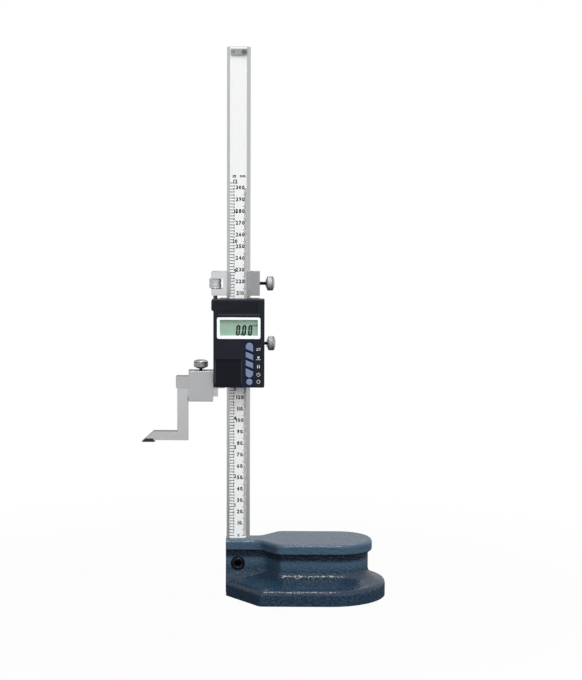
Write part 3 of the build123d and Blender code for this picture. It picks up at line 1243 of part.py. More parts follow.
with BuildPart() as battery_contact:
    # leaf that rises from the board and presses on the back of the cell
    leaf_foot = BOARD_FRONT - LEAF_THICKNESS / 2
    leaf_pad = BATTERY_BACK + LEAF_THICKNESS / 2 + FIT_GAP
    leaf_start = BATTERY_CENTRE[1] + LEAF_RISE
    with BuildSketch(Plane.YZ.offset(BATTERY_CENTRE[0] - LEAF_WIDTH / 2)):
        with BuildLine():
            Polyline(
                (leaf_foot, leaf_start - LEAF_SLOPE - LEAF_FOOT),
                (leaf_foot, leaf_start - LEAF_SLOPE),
                (leaf_pad, leaf_start),
                (leaf_pad, leaf_start + LEAF_PAD),
                (leaf_pad + 3 * LEAF_THICKNESS, leaf_start + 2 * LEAF_PAD),
            )
        trace(line_width=LEAF_THICKNESS)
    extrude(amount=LEAF_WIDTH)
battery_contact.part.label = "battery_contact"
export_step(battery_contact.part, "parts/battery_contact.step")

with BuildPart() as battery_cover:
    with BuildSketch(Plane.XY.offset(HOUSING_BOTTOM)):
        span(COVER_LEFT, COVER_RIGHT, FACE + COVER_INSET, INNER_FACE + MOULD_GAP)
        span(
            COVER_LEFT - COVER_TONGUE,
            COVER_RIGHT + COVER_TONGUE,
            INNER_FACE + MOULD_GAP,
            INNER_FACE + COVER_TONGUE_THICKNESS,
        )
    extrude(amount=COVER_TOP - HOUSING_BOTTOM)
    # the thumb lip along the bottom fills the surround's full depth
    with BuildSketch(Plane.XY.offset(HOUSING_BOTTOM)):
        with BuildLine():
            Polyline(
                (COVER_LEFT - COVER_BEVEL, FACE),
                (COVER_RIGHT + COVER_BEVEL, FACE),
                (COVER_RIGHT, FACE + COVER_INSET),
                (COVER_LEFT, FACE + COVER_INSET),
                close=True,
            )
        make_face()
    extrude(amount=COVER_LIP_HEIGHT)
    lip_edge = battery_cover.edges().filter_by(Axis.X).group_by(Axis.Y)[0].sort_by(Axis.Z)[0]
    fillet(lip_edge, HOUSING_EDGE)
battery_cover.part.label = "battery_cover"
export_step(battery_cover.part, "parts/battery_cover.step")

with BuildPart() as port_cover:
    with BuildSketch(Plane.YZ.offset(HOUSING_LEFT)):
        span(FACE, INNER_FACE + MOULD_GAP, PORT_COVER_BOTTOM, PORT_COVER_TOP)
        span(
            INNER_FACE + MOULD_GAP,
            INNER_FACE + PORT_TONGUE_THICKNESS,
            PORT_COVER_BOTTOM - PORT_TONGUE,
            PORT_COVER_TOP + PORT_TONGUE,
        )
    extrude(amount=PORT_COVER_RIGHT - HOUSING_LEFT)
    # grip ribs across the cover
    rib_centre = PORT_COVER_RIGHT - PORT_RIB_INSET - (PORT_RIBS - 1) / 2 * PORT_RIB_PITCH
    with BuildSketch(facing_user(FACE)):
        with Locations((rib_centre, PORT_CENTRE)):
            with GridLocations(PORT_RIB_PITCH, 1, PORT_RIBS, 1):
                Rectangle(PORT_RIB_WIDTH, PORT_COVER_HEIGHT - 2 * PORT_TONGUE)
    extrude(amount=PORT_RIB_PROUD)
port_cover.part.label = "port_cover"
export_step(port_cover.part, "parts/port_cover.step")

with BuildPart() as data_port:
    with BuildSketch(facing_user(BOARD_FRONT)):
        with Locations((0, PORT_CENTRE)):
            Rectangle(PORT_WIDTH - 2 * FIT_GAP, PORT_HEIGHT - 2 * FIT_GAP)
    extrude(amount=BOARD_FRONT - PORT_FLOOR_BACK)
data_port.part.label = "data_port"
export_step(data_port.part, "parts/data_port.step")

with BuildPart() as port_contacts:
    with BuildSketch(facing_user(PORT_FLOOR_BACK)):
        with Locations((0, PORT_CENTRE)):
            with GridLocations(PORT_CONTACT_PITCH, 1, PORT_CONTACTS, 1):
                Rectangle(PORT_CONTACT_PITCH / 2, PORT_HEIGHT - 2 * PORT_MARGIN)
    extrude(amount=POCKET_FLOOR / 2)
port_contacts.part.label = "port_contacts"
export_step(port_contacts.part, "parts/port_contacts.step")
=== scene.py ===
"""Finishes and fine detail for a digital height gauge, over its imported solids.

Lengths are metres, in the solids' own frame: +Z up along the beam, +X away
from the scriber and -Y towards the user.
"""

import json
import logging
import math
from dataclasses import dataclass, field
from enum import Enum
from functools import lru_cache, reduce
from typing import Callable, Sequence, Union

import bpy
import numpy as np
from mathutils import Matrix, Vector


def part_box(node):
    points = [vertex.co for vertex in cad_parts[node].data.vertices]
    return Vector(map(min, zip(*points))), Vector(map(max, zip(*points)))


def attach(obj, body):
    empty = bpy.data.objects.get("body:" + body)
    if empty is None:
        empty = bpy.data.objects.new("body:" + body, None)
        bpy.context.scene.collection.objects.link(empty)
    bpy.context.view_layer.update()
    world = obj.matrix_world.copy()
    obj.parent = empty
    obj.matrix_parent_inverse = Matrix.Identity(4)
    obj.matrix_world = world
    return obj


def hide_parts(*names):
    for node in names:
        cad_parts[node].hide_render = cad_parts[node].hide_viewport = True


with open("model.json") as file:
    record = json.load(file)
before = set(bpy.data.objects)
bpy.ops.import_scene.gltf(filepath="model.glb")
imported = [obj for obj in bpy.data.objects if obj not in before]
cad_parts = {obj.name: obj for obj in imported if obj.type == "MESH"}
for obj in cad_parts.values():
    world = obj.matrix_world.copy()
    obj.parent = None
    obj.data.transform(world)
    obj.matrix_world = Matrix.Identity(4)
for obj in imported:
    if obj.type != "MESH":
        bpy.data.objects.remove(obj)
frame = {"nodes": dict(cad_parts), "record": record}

LOG = logging.getLogger("height_gauge")
MM = 0.001
PRINT = 0.02 * MM  # thickness of printed and filled marks
KNURL_RUN = 0.4 * MM  # over which a knurl fades out at its ends
PAINTED_SHADE_ATTRIBUTE = "groove"  # attribute that is 1 where shade is painted, in grooves and recesses
WHITE = (1.0, 1.0, 1.0, 1.0)
Array = np.ndarray
Pair = tuple[float, float]
Triple = tuple[float, float, float]
Colour = tuple[float, float, float, float]
Value = Union["Socket", float]
Tone = Union["Socket", Colour]
Relief = Callable[[Array, Array], Array]
PaintedShadeOfRows = Callable[[Array], Array]
TO_THE_RIGHT: Triple = (1.0, 0.0, 0.0)
TO_THE_USER: Triple = (0.0, -1.0, 0.0)
UPWARDS: Triple = (0.0, 0.0, 1.0)


def srgb(*parts: int) -> Colour:
    """Linear colour of an 8-bit display colour."""
    shares = [part / 255 for part in parts]
    return (*(share / 12.92 if share <= 0.04045 else ((share + 0.055) / 1.055) ** 2.4
              for share in shares), 1.0)


def box(node: str) -> Array:
    """Lowest and highest corner of a node at rest, in metres."""
    return np.array(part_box(node), dtype=float)


# ---- shader graph
class Socket:
    """One number from a shader graph; arithmetic on it adds Math nodes."""

    def __init__(self, graph: "Graph", output: bpy.types.NodeSocket) -> None:
        """Wrap an output of a node in a graph."""
        self.graph = graph
        self.output = output

    def apply(self, operation: str, *others: Value) -> "Socket":
        """Result of a Math operation on this number and the others."""
        values = dict(enumerate((self, *others)))
        return self.graph.node("Math", values, operation=operation)

    def __add__(self, other: Value) -> "Socket":
        """Sum."""
        return self.apply("ADD", other)

    __radd__ = __add__

    def __sub__(self, other: Value) -> "Socket":
        """Difference."""
        return self.apply("SUBTRACT", other)

    def __rsub__(self, other: float) -> "Socket":
        """Difference from a plain number."""
        return self.apply("MULTIPLY_ADD", -1.0, other)

    def __mul__(self, other: Value) -> "Socket":
        """Product."""
        return self.apply("MULTIPLY", other)

    __rmul__ = __mul__

    def above(self, low: float, high: float) -> "Socket":
        """Smooth rise from 0 at one value to 1 at another."""
        values = {"Value": self, "From Min": low, "From Max": high}
        return self.graph.node("MapRange", values,
                               interpolation_type="SMOOTHSTEP")

    def within(self, ends: Pair, soft: float) -> "Socket":
        """1 between two values, falling to 0 over a soft edge at each."""
        rise, fall = (self.above(end - soft, end + soft) for end in ends)
        return rise * (1 - fall)

    def wave(self, period: float) -> "Socket":
        """Triangle wave from 0 to 1 with a period."""
        return self.apply("PINGPONG", period / 2) * (2 / period)


class Graph:
    """Node tree of one material, or of the world."""

    def __init__(self, owner: Union[bpy.types.Material, bpy.types.World]) -> None:
        """Start an empty tree.

        Args:
            owner: the material or world that gets the tree.
        """
        owner.use_nodes = True
        self.tree = owner.node_tree
        self.tree.nodes.clear()

    def node(self, kind: str, values: dict[Union[str, int], object] | None = None,
             output: Union[str, int] = 0, **settings: object) -> Socket | None:
        """Add a node.

        Args:
            kind: the node's type, after ShaderNode.
            values: numbers, colours or sockets, by the input's name or index.
            output: which output is handed back.
            settings: attributes of the node, which are set first.

        Returns:
            The chosen output, or nothing for a node that ends the tree.
        """
        made = self.tree.nodes.new(f"ShaderNode{kind}")
        for name, setting in settings.items():
            setattr(made, name, setting)
        for name, value in (values or {}).items():
            if isinstance(value, Socket):
                self.tree.links.new(value.output, made.inputs[name])
            else:
                made.inputs[name].default_value = value
        return Socket(self, made.outputs[output]) if made.outputs else None

    def place(self) -> Socket:
        """Object coordinates, in metres."""
        return self.node("TexCoord", output="Object")

    def part(self, vector: Socket, name: str) -> Socket:
        """X, Y or Z of a vector."""
        return self.node("SeparateXYZ", {0: vector}, name)

    def axis(self, name: str) -> Socket:
        """X, Y or Z of the object coordinates."""
        return self.part(self.place(), name)

    def facing(self, name: str) -> Socket:
        """X, Y or Z of the direction in which the solid's face looks."""
        return self.part(self.node("NewGeometry", output="True Normal"), name)

    def noise(self, scale: float, detail: float, stretch: Triple = (1, 1, 1)) -> Socket:
        """Cloudy noise from 0 to 1, with features of about 1 / scale metres."""
        place = self.node("Mapping", {"Vector": self.place(), "Scale": stretch})
        return self.node("TexNoise", {"Vector": place, "Scale": scale, "Detail": detail})

    def mix(self, share: Value, first: Tone, second: Tone) -> Socket:
        """Blend of two colours."""
        values = {0: share, 6: first, 7: second}
        return self.node("Mix", values, 2, data_type="RGBA")

    def bump(self, height: Value, depth: float, strength: float,
             **under: Socket) -> Socket:
        """Normal of a relief with a depth, over another relief's Normal if given."""
        values = {"Height": height, "Distance": depth, "Strength": strength, **under}
        return self.node("Bump", values)

    def surface(self, **values: object) -> None:
        """End the tree in a Principled shader; _ stands for a space in its inputs."""
        named = {name.replace("_", " "): value for name, value in values.items()}
        self.node("OutputMaterial", {"Surface": self.node("BsdfPrincipled", named)})

    def ray(self, kind: str) -> Socket:
        """1 for rays of one kind."""
        return self.node("LightPath", output=f"Is {kind} Ray")


# ---- finishes
@dataclass(frozen=True)
class Area:
    """Rectangle of X and Z laid over in one colour, with a soft edge: a real colour,
    painted shade or painted highlights.
    """

    colour: Colour
    share: float
    across: Pair = (-1.0, 1.0)
    up: Pair = (-1.0, 1.0)
    soft: float = 0.12 * MM

    def paint(self, graph: Graph, tone: Tone) -> Tone:
        """Cover a share of the tone inside the rectangle."""
        inside = (graph.axis("X").within(self.across, self.soft)
                  * graph.axis("Z").within(self.up, self.soft))
        return graph.mix(inside * self.share, tone, self.colour)


@dataclass(frozen=True)
class Valleys:
    """Dust and shade between upright ribs, counted from a node's right end."""

    node: str
    colour: Colour
    pitch: float
    last_rib: float

    def paint(self, graph: Graph, tone: Tone) -> Tone:
        """Darken half a pitch from each rib, from a hundred ribs further left.

        Args:
            graph: the finish's graph.
            tone: the tone below.

        Returns:
            The tone with dark valleys.
        """
        start = box(self.node)[1, 0] - self.last_rib - 100 * self.pitch
        valley = (graph.axis("X") - start).wave(self.pitch).above(0.35, 0.75)
        return graph.mix(valley * 0.85, tone, self.colour)


@dataclass(frozen=True)
class Finish:
    """A finish, which builds one material; its layers lie over its own tone."""

    name: str
    layers: tuple[Union[Area, Valleys], ...] = field(default=(), kw_only=True)

    def shade(self, graph: Graph) -> None:
        """Fill an empty graph."""
        raise NotImplementedError

    def dress(self, graph: Graph, tone: Tone) -> Tone:
        """Tone with every layer laid over it."""
        return reduce(lambda under, layer: layer.paint(graph, under), self.layers, tone)

    def build(self) -> bpy.types.Material:
        """Make the material, once.

        Returns:
            The finish's material.
        """
        title = f"finish_{self.name}"
        if title not in bpy.data.materials:
            self.shade(Graph(bpy.data.materials.new(title)))
        return bpy.data.materials[title]


class Grain(Enum):
    """Direction in which steel was ground, as factors on the coordinates."""

    ALONG_X = (30.0, 900.0, 900.0)
    ALONG_Z = (900.0, 900.0, 30.0)


@dataclass(frozen=True)
class HammeredPaint(Finish):
    """Glossy enamel with dimples, and metallic flecks on the crowns between them."""

    deep: Colour = srgb(18, 34, 50)
    body: Colour = srgb(46, 70, 90)
    fleck: Colour = srgb(74, 98, 118)
    # Colour of the painted light on the upper casting.
    thin: Colour = srgb(70, 95, 116)
    # Colour of the painted shade below the plate's lip and on faces that look down.
    under_lip: Colour = srgb(6, 20, 38)
    # Heights over which the painted light on the upper casting rises, and the lip's height.
    thick_up_to: float = 22 * MM
    thin_from: float = 31 * MM
    lip: float = 39.5 * MM
    dimple_scale: float = 620.0
    dimple_depth: float = 0.22 * MM
    grain_scale: float = 3200.0
    grain_depth: float = 0.02 * MM

    def shade(self, graph: Graph) -> None:
        """Dimples are rounded cells plus waves; pools of deeper colour lie across them.

        Args:
            graph: the paint's graph.
        """
        values = {"Vector": graph.place(), "Scale": self.dimple_scale}
        cells = graph.node("TexVoronoi", values, feature="SMOOTH_F1")
        waves = graph.noise(self.dimple_scale * 0.7, 2.0)
        crown = (cells * 0.7 + waves * 0.6).above(0.25, 0.85)
        pools = graph.noise(70.0, 4.0)
        grains = graph.noise(self.grain_scale, 2.0)
        tone = graph.mix(crown * 0.6, self.deep, self.body)
        tone = graph.mix((grains * waves).above(0.26, 0.46) * 0.35, tone, self.fleck)
        tone = graph.mix(pools.above(0.5, 0.8) * 0.25, tone, self.deep)
        relief = graph.bump(crown, self.dimple_depth, 0.9)
        relief = graph.bump(grains, self.grain_depth, 0.4, Normal=relief)
        graph.surface(Base_Color=self.dress(graph, tone), Roughness=0.09 + pools * 0.10,
                      Normal=relief, Specular_IOR_Level=0.45)

    def dress(self, graph: Graph, tone: Tone) -> Tone:
        """Painted shade in the hollow, on faces that look left, and below the lip; painted
        light on the upper casting.

        Args:
            graph: the paint's graph.
            tone: the paint's own colour.

        Returns:
            The tone at each height and for each facing.
        """
        height, level = graph.axis("Z"), graph.facing("Z")
        # Painted shade on sloping faces, which darkens the hollow sweep of the flange.
        hollow = level.above(0.12, 0.4) * (1 - level.above(0.93, 0.99))
        tone = graph.mix(hollow * 0.8, tone, self.deep)
        # Painted light: the casting is lighter higher up, less so on its top face.
        thin = height.above(self.thick_up_to, self.thin_from)
        thin = thin * (1 - level.above(0.9, 0.99) * 0.6)
        tone = graph.mix(thin * 0.5, tone, self.thin)
        # Painted shade on faces that look to the left.
        left = 1 - graph.facing("X").above(-0.8, -0.2)
        tone = graph.mix(left * 0.55, tone, self.deep)
        # Painted shade in a band at the plate's lip and on every face that looks down.
        below = height.above(self.lip - 7.5 * MM, self.lip - 4.0 * MM)
        below = below * (1 - height.above(self.lip + 0.8 * MM, self.lip + 2.0 * MM))
        under = below.apply("MAXIMUM", 1 - level.above(-0.6, -0.15))
        return graph.mix(under * 0.92, tone, self.under_lip)


@dataclass(frozen=True)
class GroundSteel(Finish):
    """Steel with a ground or brushed grain, faint stains and fine scratches."""

    tint: Colour = srgb(206, 207, 209)
    shade_tint: Colour = srgb(190, 191, 194)
    grain: Grain = Grain.ALONG_Z
    # Colour of the painted shade on faces that look up or down, below a height.
    milled: Colour = srgb(128, 129, 132)
    milled_up_to: float = 200 * MM
    grain_depth: float = 0.008 * MM

    def shade(self, graph: Graph) -> None:
        """Grain is noise drawn out along one axis; level faces below a height get painted
        shade.

        Args:
            graph: the steel's graph.
        """
        grain = graph.noise(9.0, 5.0, self.grain.value)
        stains = graph.noise(38.0, 4.0)
        tone = graph.mix(grain.above(0.2, 0.8), self.shade_tint, self.tint)
        tone = graph.mix(stains.above(0.5, 0.85) * 0.3, tone, self.shade_tint)
        # Painted shade: faces that look up or down are darkened, below a height.
        edges = graph.facing("Z").apply("ABSOLUTE").above(0.55, 0.7)
        upper = graph.axis("Z").above(self.milled_up_to, self.milled_up_to + MM)
        tone = graph.mix(edges * (1 - upper) * 0.9, tone, self.milled)
        graph.surface(Base_Color=self.dress(graph, tone), Metallic=1.0,
                      Roughness=0.28 + grain * 0.10 + stains * 0.05,
                      Normal=graph.bump(grain, self.grain_depth, 0.6))


@dataclass(frozen=True)
class Plating(Finish):
    """Bright or dark plating with soft clouding and pinpoint wear."""

    tint: Colour
    worn: Colour
    roughness: float = 0.16
    wear: float = 0.3
    # Colour of the painted shade in grooves and recesses.
    grime: Colour = srgb(34, 34, 38)
    pit_depth: float = 0.008 * MM

    def shade(self, graph: Graph) -> None:
        """Clouds vary the gloss, fine cells rub through, and painted shade darkens grooves
        and recesses.

        Args:
            graph: the plating's graph.
        """
        clouds, pits = graph.noise(260.0, 4.0), graph.noise(2600.0, 2.0)
        worn = (clouds * pits).above(0.27, 0.42) * self.wear
        # Painted shade: the attribute darkens knurl and thread valleys and other recesses.
        groove = graph.node("Attribute", output="Fac", attribute_name=PAINTED_SHADE_ATTRIBUTE)
        tone = graph.mix(worn, self.tint, self.worn)
        tone = graph.mix(groove.above(0.3, 0.85), tone, self.grime)
        graph.surface(Base_Color=tone, Metallic=1.0,
                      Roughness=self.roughness + clouds * 0.12,
                      Normal=graph.bump(pits, self.pit_depth, 0.5))


@dataclass(frozen=True)
class Moulded(Finish):
    """Moulded plastic or rubber with a fine eroded texture."""

    tint: Colour
    dusty: Colour
    roughness: float = 0.5
    gloss: float = 0.3
    texture_scale: float = 5200.0
    texture_depth: float = 0.02 * MM

    def shade(self, graph: Graph) -> None:
        """A fine pebble relief, with wide clouds of slight dulling.

        Args:
            graph: the moulding's graph.
        """
        pebble, clouds = graph.noise(self.texture_scale, 2.0), graph.noise(70.0, 4.0)
        dust = clouds.above(0.4, 0.8) * 0.5 + pebble * 0.2
        tone = self.dress(graph, graph.mix(dust, self.tint, self.dusty))
        graph.surface(Base_Color=tone, Roughness=self.roughness - 0.06 + clouds * 0.12,
                      Normal=graph.bump(pebble, self.texture_depth, 0.8),
                      Specular_IOR_Level=self.gloss)


@dataclass(frozen=True)
class SatinScale(Finish):
    """Satin light plate of the scale, faintly brushed along its length."""

    tint: Colour = srgb(230, 231, 231)
    line: Colour = srgb(214, 216, 217)
    brushing: Triple = (1400.0, 1400.0, 25.0)
    brush_depth: float = 0.006 * MM

    def shade(self, graph: Graph) -> None:
        """Long brush lines and a faint mottle.

        Args:
            graph: the plate's graph.
        """
        lines, mottle = graph.noise(5.0, 5.0, self.brushing), graph.noise(160.0, 3.0)
        tone = graph.mix(lines.above(0.35, 0.75) * 0.5, self.tint, self.line)
        graph.surface(Base_Color=tone, Roughness=0.36 + mottle * 0.16, Metallic=0.1,
                      Normal=graph.bump(lines, self.brush_depth, 0.5),
                      Specular_IOR_Level=0.3)


@dataclass(frozen=True)
class CrystalPanel(Finish):
    """Grey-green liquid crystal panel with a faint vertical electrode pattern."""

    tint: Colour = srgb(150, 180, 161)
    edge: Colour = srgb(138, 168, 150)
    electrode_pitch: float = 0.6 * MM

    def shade(self, graph: Graph) -> None:
        """A slow cloud and fine stripes over the tint.

        Args:
            graph: the panel's graph.
        """
        stripes = graph.axis("X").wave(self.electrode_pitch)
        cloud = graph.noise(60.0, 2.0)
        share = cloud.above(0.3, 0.9) * 0.3 + stripes * 0.05
        graph.surface(Base_Color=graph.mix(share, self.tint, self.edge),
                      Roughness=0.3 + cloud * 0.08, Specular_IOR_Level=0.3)


@dataclass(frozen=True)
class ClearPane(Finish):
    """Thin clear window that shows mostly its reflections."""

    tint: Colour = srgb(120, 126, 124)

    def shade(self, graph: Graph) -> None:
        """Nearly transparent, with faint haze."""
        haze = graph.noise(120.0, 3.0)
        graph.surface(Base_Color=self.tint, Roughness=0.04 + haze * 0.05,
                      Alpha=0.02 + haze * 0.04)


@dataclass(frozen=True)
class CircuitBoard(Finish):
    """Solder mask over copper tracks."""

    mask: Colour = srgb(22, 84, 52)
    track: Colour = srgb(70, 140, 92)
    pitches: Pair = (1.3 * MM, 1.7 * MM)
    track_depth: float = 0.03 * MM

    def shade(self, graph: Graph) -> None:
        """Tracks are a grid of lines that noise switches on and off.

        Args:
            graph: the board's graph.
        """
        gate = graph.noise(300.0, 1.0).above(0.46, 0.54)
        across, along = (graph.axis(name).wave(pitch).above(0.62, 0.72)
                         for name, pitch in zip("XZ", self.pitches))
        tracks = gate * across + (1 - gate) * along
        graph.surface(Base_Color=graph.mix(tracks * 0.6, self.mask, self.track),
                      Roughness=0.35 + tracks * 0.1,
                      Normal=graph.bump(tracks, self.track_depth, 0.6))


@dataclass(frozen=True)
class Ink(Finish):
    """Printed or filled marking."""

    tint: Colour

    def shade(self, graph: Graph) -> None:
        """Ink with slightly uneven cover.

        Args:
            graph: the ink's graph.
        """
        cover = graph.noise(4000.0, 2.0)
        lighter = (*(min(1.0, 1.25 * part + 0.01) for part in self.tint[:3]), 1.0)
        graph.surface(Base_Color=graph.mix(cover.above(0.4, 0.8) * 0.5, self.tint, lighter),
                      Roughness=0.5 + cover * 0.1, Specular_IOR_Level=0.15)


FINISHES: dict[str, Finish] = {finish.name: finish for finish in (
    HammeredPaint("base_paint"),
    GroundSteel("stainless"),
    GroundSteel("tool_steel", srgb(222, 222, 223), srgb(204, 205, 207), Grain.ALONG_X),
    # The gib's last colour is its painted shade on level faces.
    GroundSteel("gib_brass", srgb(214, 180, 104), srgb(176, 142, 76),
                milled=srgb(150, 120, 62)),
    # Colour laid over the steel: lighter on the left wing, darker on the right body.
    GroundSteel("block_steel", layers=(
        Area(srgb(226, 227, 229), 0.9, across=(-1.0, -10 * MM), soft=0.1 * MM),
        Area(srgb(160, 161, 164), 0.9, across=(10.2 * MM, 1.0), soft=0.1 * MM))),
    # Painted shade on the foot, which stands in the casting.
    GroundSteel("beam_steel", srgb(208, 209, 211), srgb(192, 193, 196), layers=(
        Area(srgb(16, 18, 26), 0.9, up=(-1.0, 39.5 * MM), soft=0.5 * MM),)),
    Plating("screw_steel", srgb(176, 176, 178), srgb(110, 108, 106)),
    Plating("battery_steel", srgb(205, 204, 200), srgb(150, 148, 140)),
    Plating("nut_steel", srgb(226, 227, 229), srgb(120, 122, 126), 0.2, 0.12),
    Plating("stop_steel", srgb(168, 169, 171), srgb(110, 111, 113), 0.3),
    Plating("stop_screw_steel", srgb(112, 113, 116), srgb(60, 61, 64), 0.26),
    # Its last colour is the painted shade in the socket, the dish and down the head.
    Plating("clamp_screw_steel", srgb(72, 70, 78), srgb(128, 126, 132), 0.2, 0.4,
            srgb(10, 12, 20)),
    Plating("knob_chrome", srgb(196, 197, 200), srgb(84, 86, 90), 0.27, 0.5),
    Plating("black_oxide", srgb(30, 30, 34), srgb(80, 80, 86), 0.3),
    Plating("carbide", srgb(62, 64, 70), srgb(104, 106, 112), 0.3),
    Plating("contact_gold", srgb(232, 196, 110), srgb(180, 150, 90)),
    Moulded("stator", srgb(150, 140, 92), srgb(170, 160, 112)),
    Moulded("black_bracket", srgb(22, 23, 26), srgb(36, 37, 42)),
    Moulded("cover_plastic", srgb(17, 18, 25), srgb(23, 24, 32), 0.46, 0.1),
    Moulded("bezel_plastic", srgb(242, 248, 249), srgb(232, 240, 241), 0.3),
    Moulded("button_plastic", srgb(116, 127, 157), srgb(102, 113, 144), 0.45),
    Moulded("rubber_black", srgb(22, 22, 24), srgb(40, 40, 42), 0.8),
    Moulded("spacer_plastic", srgb(30, 30, 32), srgb(44, 44, 46)),
    Moulded("chip_resin", srgb(20, 20, 22), srgb(34, 34, 36), 0.35),
    # A navy keypad panel; painted highlights on the edges beside the cover, and a pale line
    # above the display.
    Moulded("housing_plastic", srgb(26, 29, 37), srgb(33, 36, 45), 0.42, 0.12, layers=(
        Area(srgb(14, 24, 52), 1.0, (5.7 * MM, 13.7 * MM), (184.5 * MM, 222.7 * MM),
             0.8 * MM),
        *(Area(srgb(66, 68, 78), 0.8, across, up) for across, up in (
            ((-16.9 * MM, 18.7 * MM), (245.2 * MM, 245.9 * MM)),
            ((-19.8 * MM, -19.2 * MM), (187.0 * MM, 206.3 * MM)),
            ((2.6 * MM, 3.2 * MM), (187.0 * MM, 206.3 * MM)))))),
    Moulded("port_cover_plastic", srgb(30, 33, 42), srgb(38, 41, 50), 0.44, 0.12,
            layers=(Valleys("port_cover", srgb(10, 11, 16), 1.7 * MM, 1.35 * MM),)),
    SatinScale("scale"),
    CircuitBoard("circuit_board"),
    ClearPane("window_clear"),
    CrystalPanel("display_glass"),
    Ink("scale_ink", srgb(16, 16, 18)),
    Ink("digit_ink", srgb(10, 22, 16)),
    Ink("label_ink", srgb(206, 208, 218)),
)}

OWN_FINISHES = {
    "beam": "beam_steel",
    "end_stop": "stop_steel",
    "end_stop_screw": "stop_screw_steel",
    "end_stop_pin": "stop_screw_steel",
    "port_cover": "port_cover_plastic",
    "fine_adjust_block": "block_steel",
}


def dress_nodes() -> None:
    """Give every solid a finish of its own, or that of its material slot."""
    for part in frame["record"]["subparts"]:
        materials = frame["nodes"][part["node"]].data.materials
        finish = OWN_FINISHES.get(part["node"], part["material_slot"])
        materials.clear()
        materials.append(FINISHES[finish].build())


# ---- meshes
def show(name: str, data: bpy.types.ID) -> bpy.types.Object:
    """Object of some data, in the scene.

    Args:
        name: the object's name.
        data: its mesh, lamp or camera.

    Returns:
        The new object.
    """
    shown = bpy.data.objects.new(name, data)
    bpy.context.scene.collection.objects.link(shown)
    return shown


def make_piece(name: str, points: Array, faces: Sequence[Sequence[int]], finish: str,
               smooth: bool = False) -> bpy.types.Object:
    """Object at the origin whose place is in its mesh.

    Args:
        name: the piece's name.
        points: corners, one row each, in metres.
        faces: corner numbers of each face, seen from outside.
        finish: name of the piece's finish.
        smooth: whether the faces are shaded smooth.

    Returns:
        The new object.
    """
    mesh = bpy.data.meshes.new(name)
    mesh.from_pydata(points.tolist(), [], [list(face) for face in faces])
    mesh.validate()
    mesh.shade_smooth() if smooth else mesh.shade_flat()
    mesh.materials.append(FINISHES[finish].build())
    return show(name, mesh)


def settle(piece: bpy.types.Object, body: str, node: str | None = None) -> None:
    """Args:
        piece: the piece.
        body: the body that it moves with.
        node: the node that it stands for, if any.
    """
    if node:
        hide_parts(node)
    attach(piece, body)


def rectangles(rows: Sequence[Sequence[float]]) -> Array:
    """Outlines of rectangles.

    Args:
        rows: centre x, centre z, width and height of each.

    Returns:
        (x, z) corners, of shape (rectangles, 4, 2).
    """
    corners = np.array([(-0.5, -0.5), (0.5, -0.5), (0.5, 0.5), (-0.5, 0.5)])
    rows = np.asarray(rows)[:, None, :]
    return rows[..., :2] + corners * rows[..., 2:]


def print_prisms(name: str, outlines: Array, surface: float,
                 finish: str) -> bpy.types.Object:
    """One mesh of thin, equal-cornered prisms on a face that looks towards the user.

    Each outline, in either direction, is copied to the surface and to a plane
    one print's thickness in front of it. Front and back are one face each and
    the sides are quads.

    Args:
        name: the piece's name.
        outlines: (x, z) corners, of shape (prisms, corners, 2), in metres.
        surface: the face's y.
        finish: name of the piece's finish.

    Returns:
        The new object.
    """
    count, corners, _ = outlines.shape
    ahead = np.roll(outlines, -1, axis=1)
    area = np.sum(outlines[..., 0] * ahead[..., 1] - ahead[..., 0] * outlines[..., 1], 1)
    outlines = np.where(area[:, None, None] < 0, outlines[:, ::-1], outlines)
    points = np.empty((count, 2, corners, 3))
    points[..., [0, 2]] = outlines[:, None]
    points[..., 1] = np.array([surface - PRINT, surface])[None, :, None]
    ring = np.arange(corners)
    base = (np.arange(count) * 2 * corners)[:, None]
    ahead = np.roll(ring, -1)
    sides = np.stack([ring, ring + corners, ahead + corners, ahead], axis=-1)
    sides = (base[:, :, None] + sides).reshape(-1, 4)
    faces = [*(base + ring).tolist(), *(base + corners + ring[::-1]).tolist(),
             *sides.tolist()]
    return make_piece(name, points.reshape(-1, 3), faces, finish)


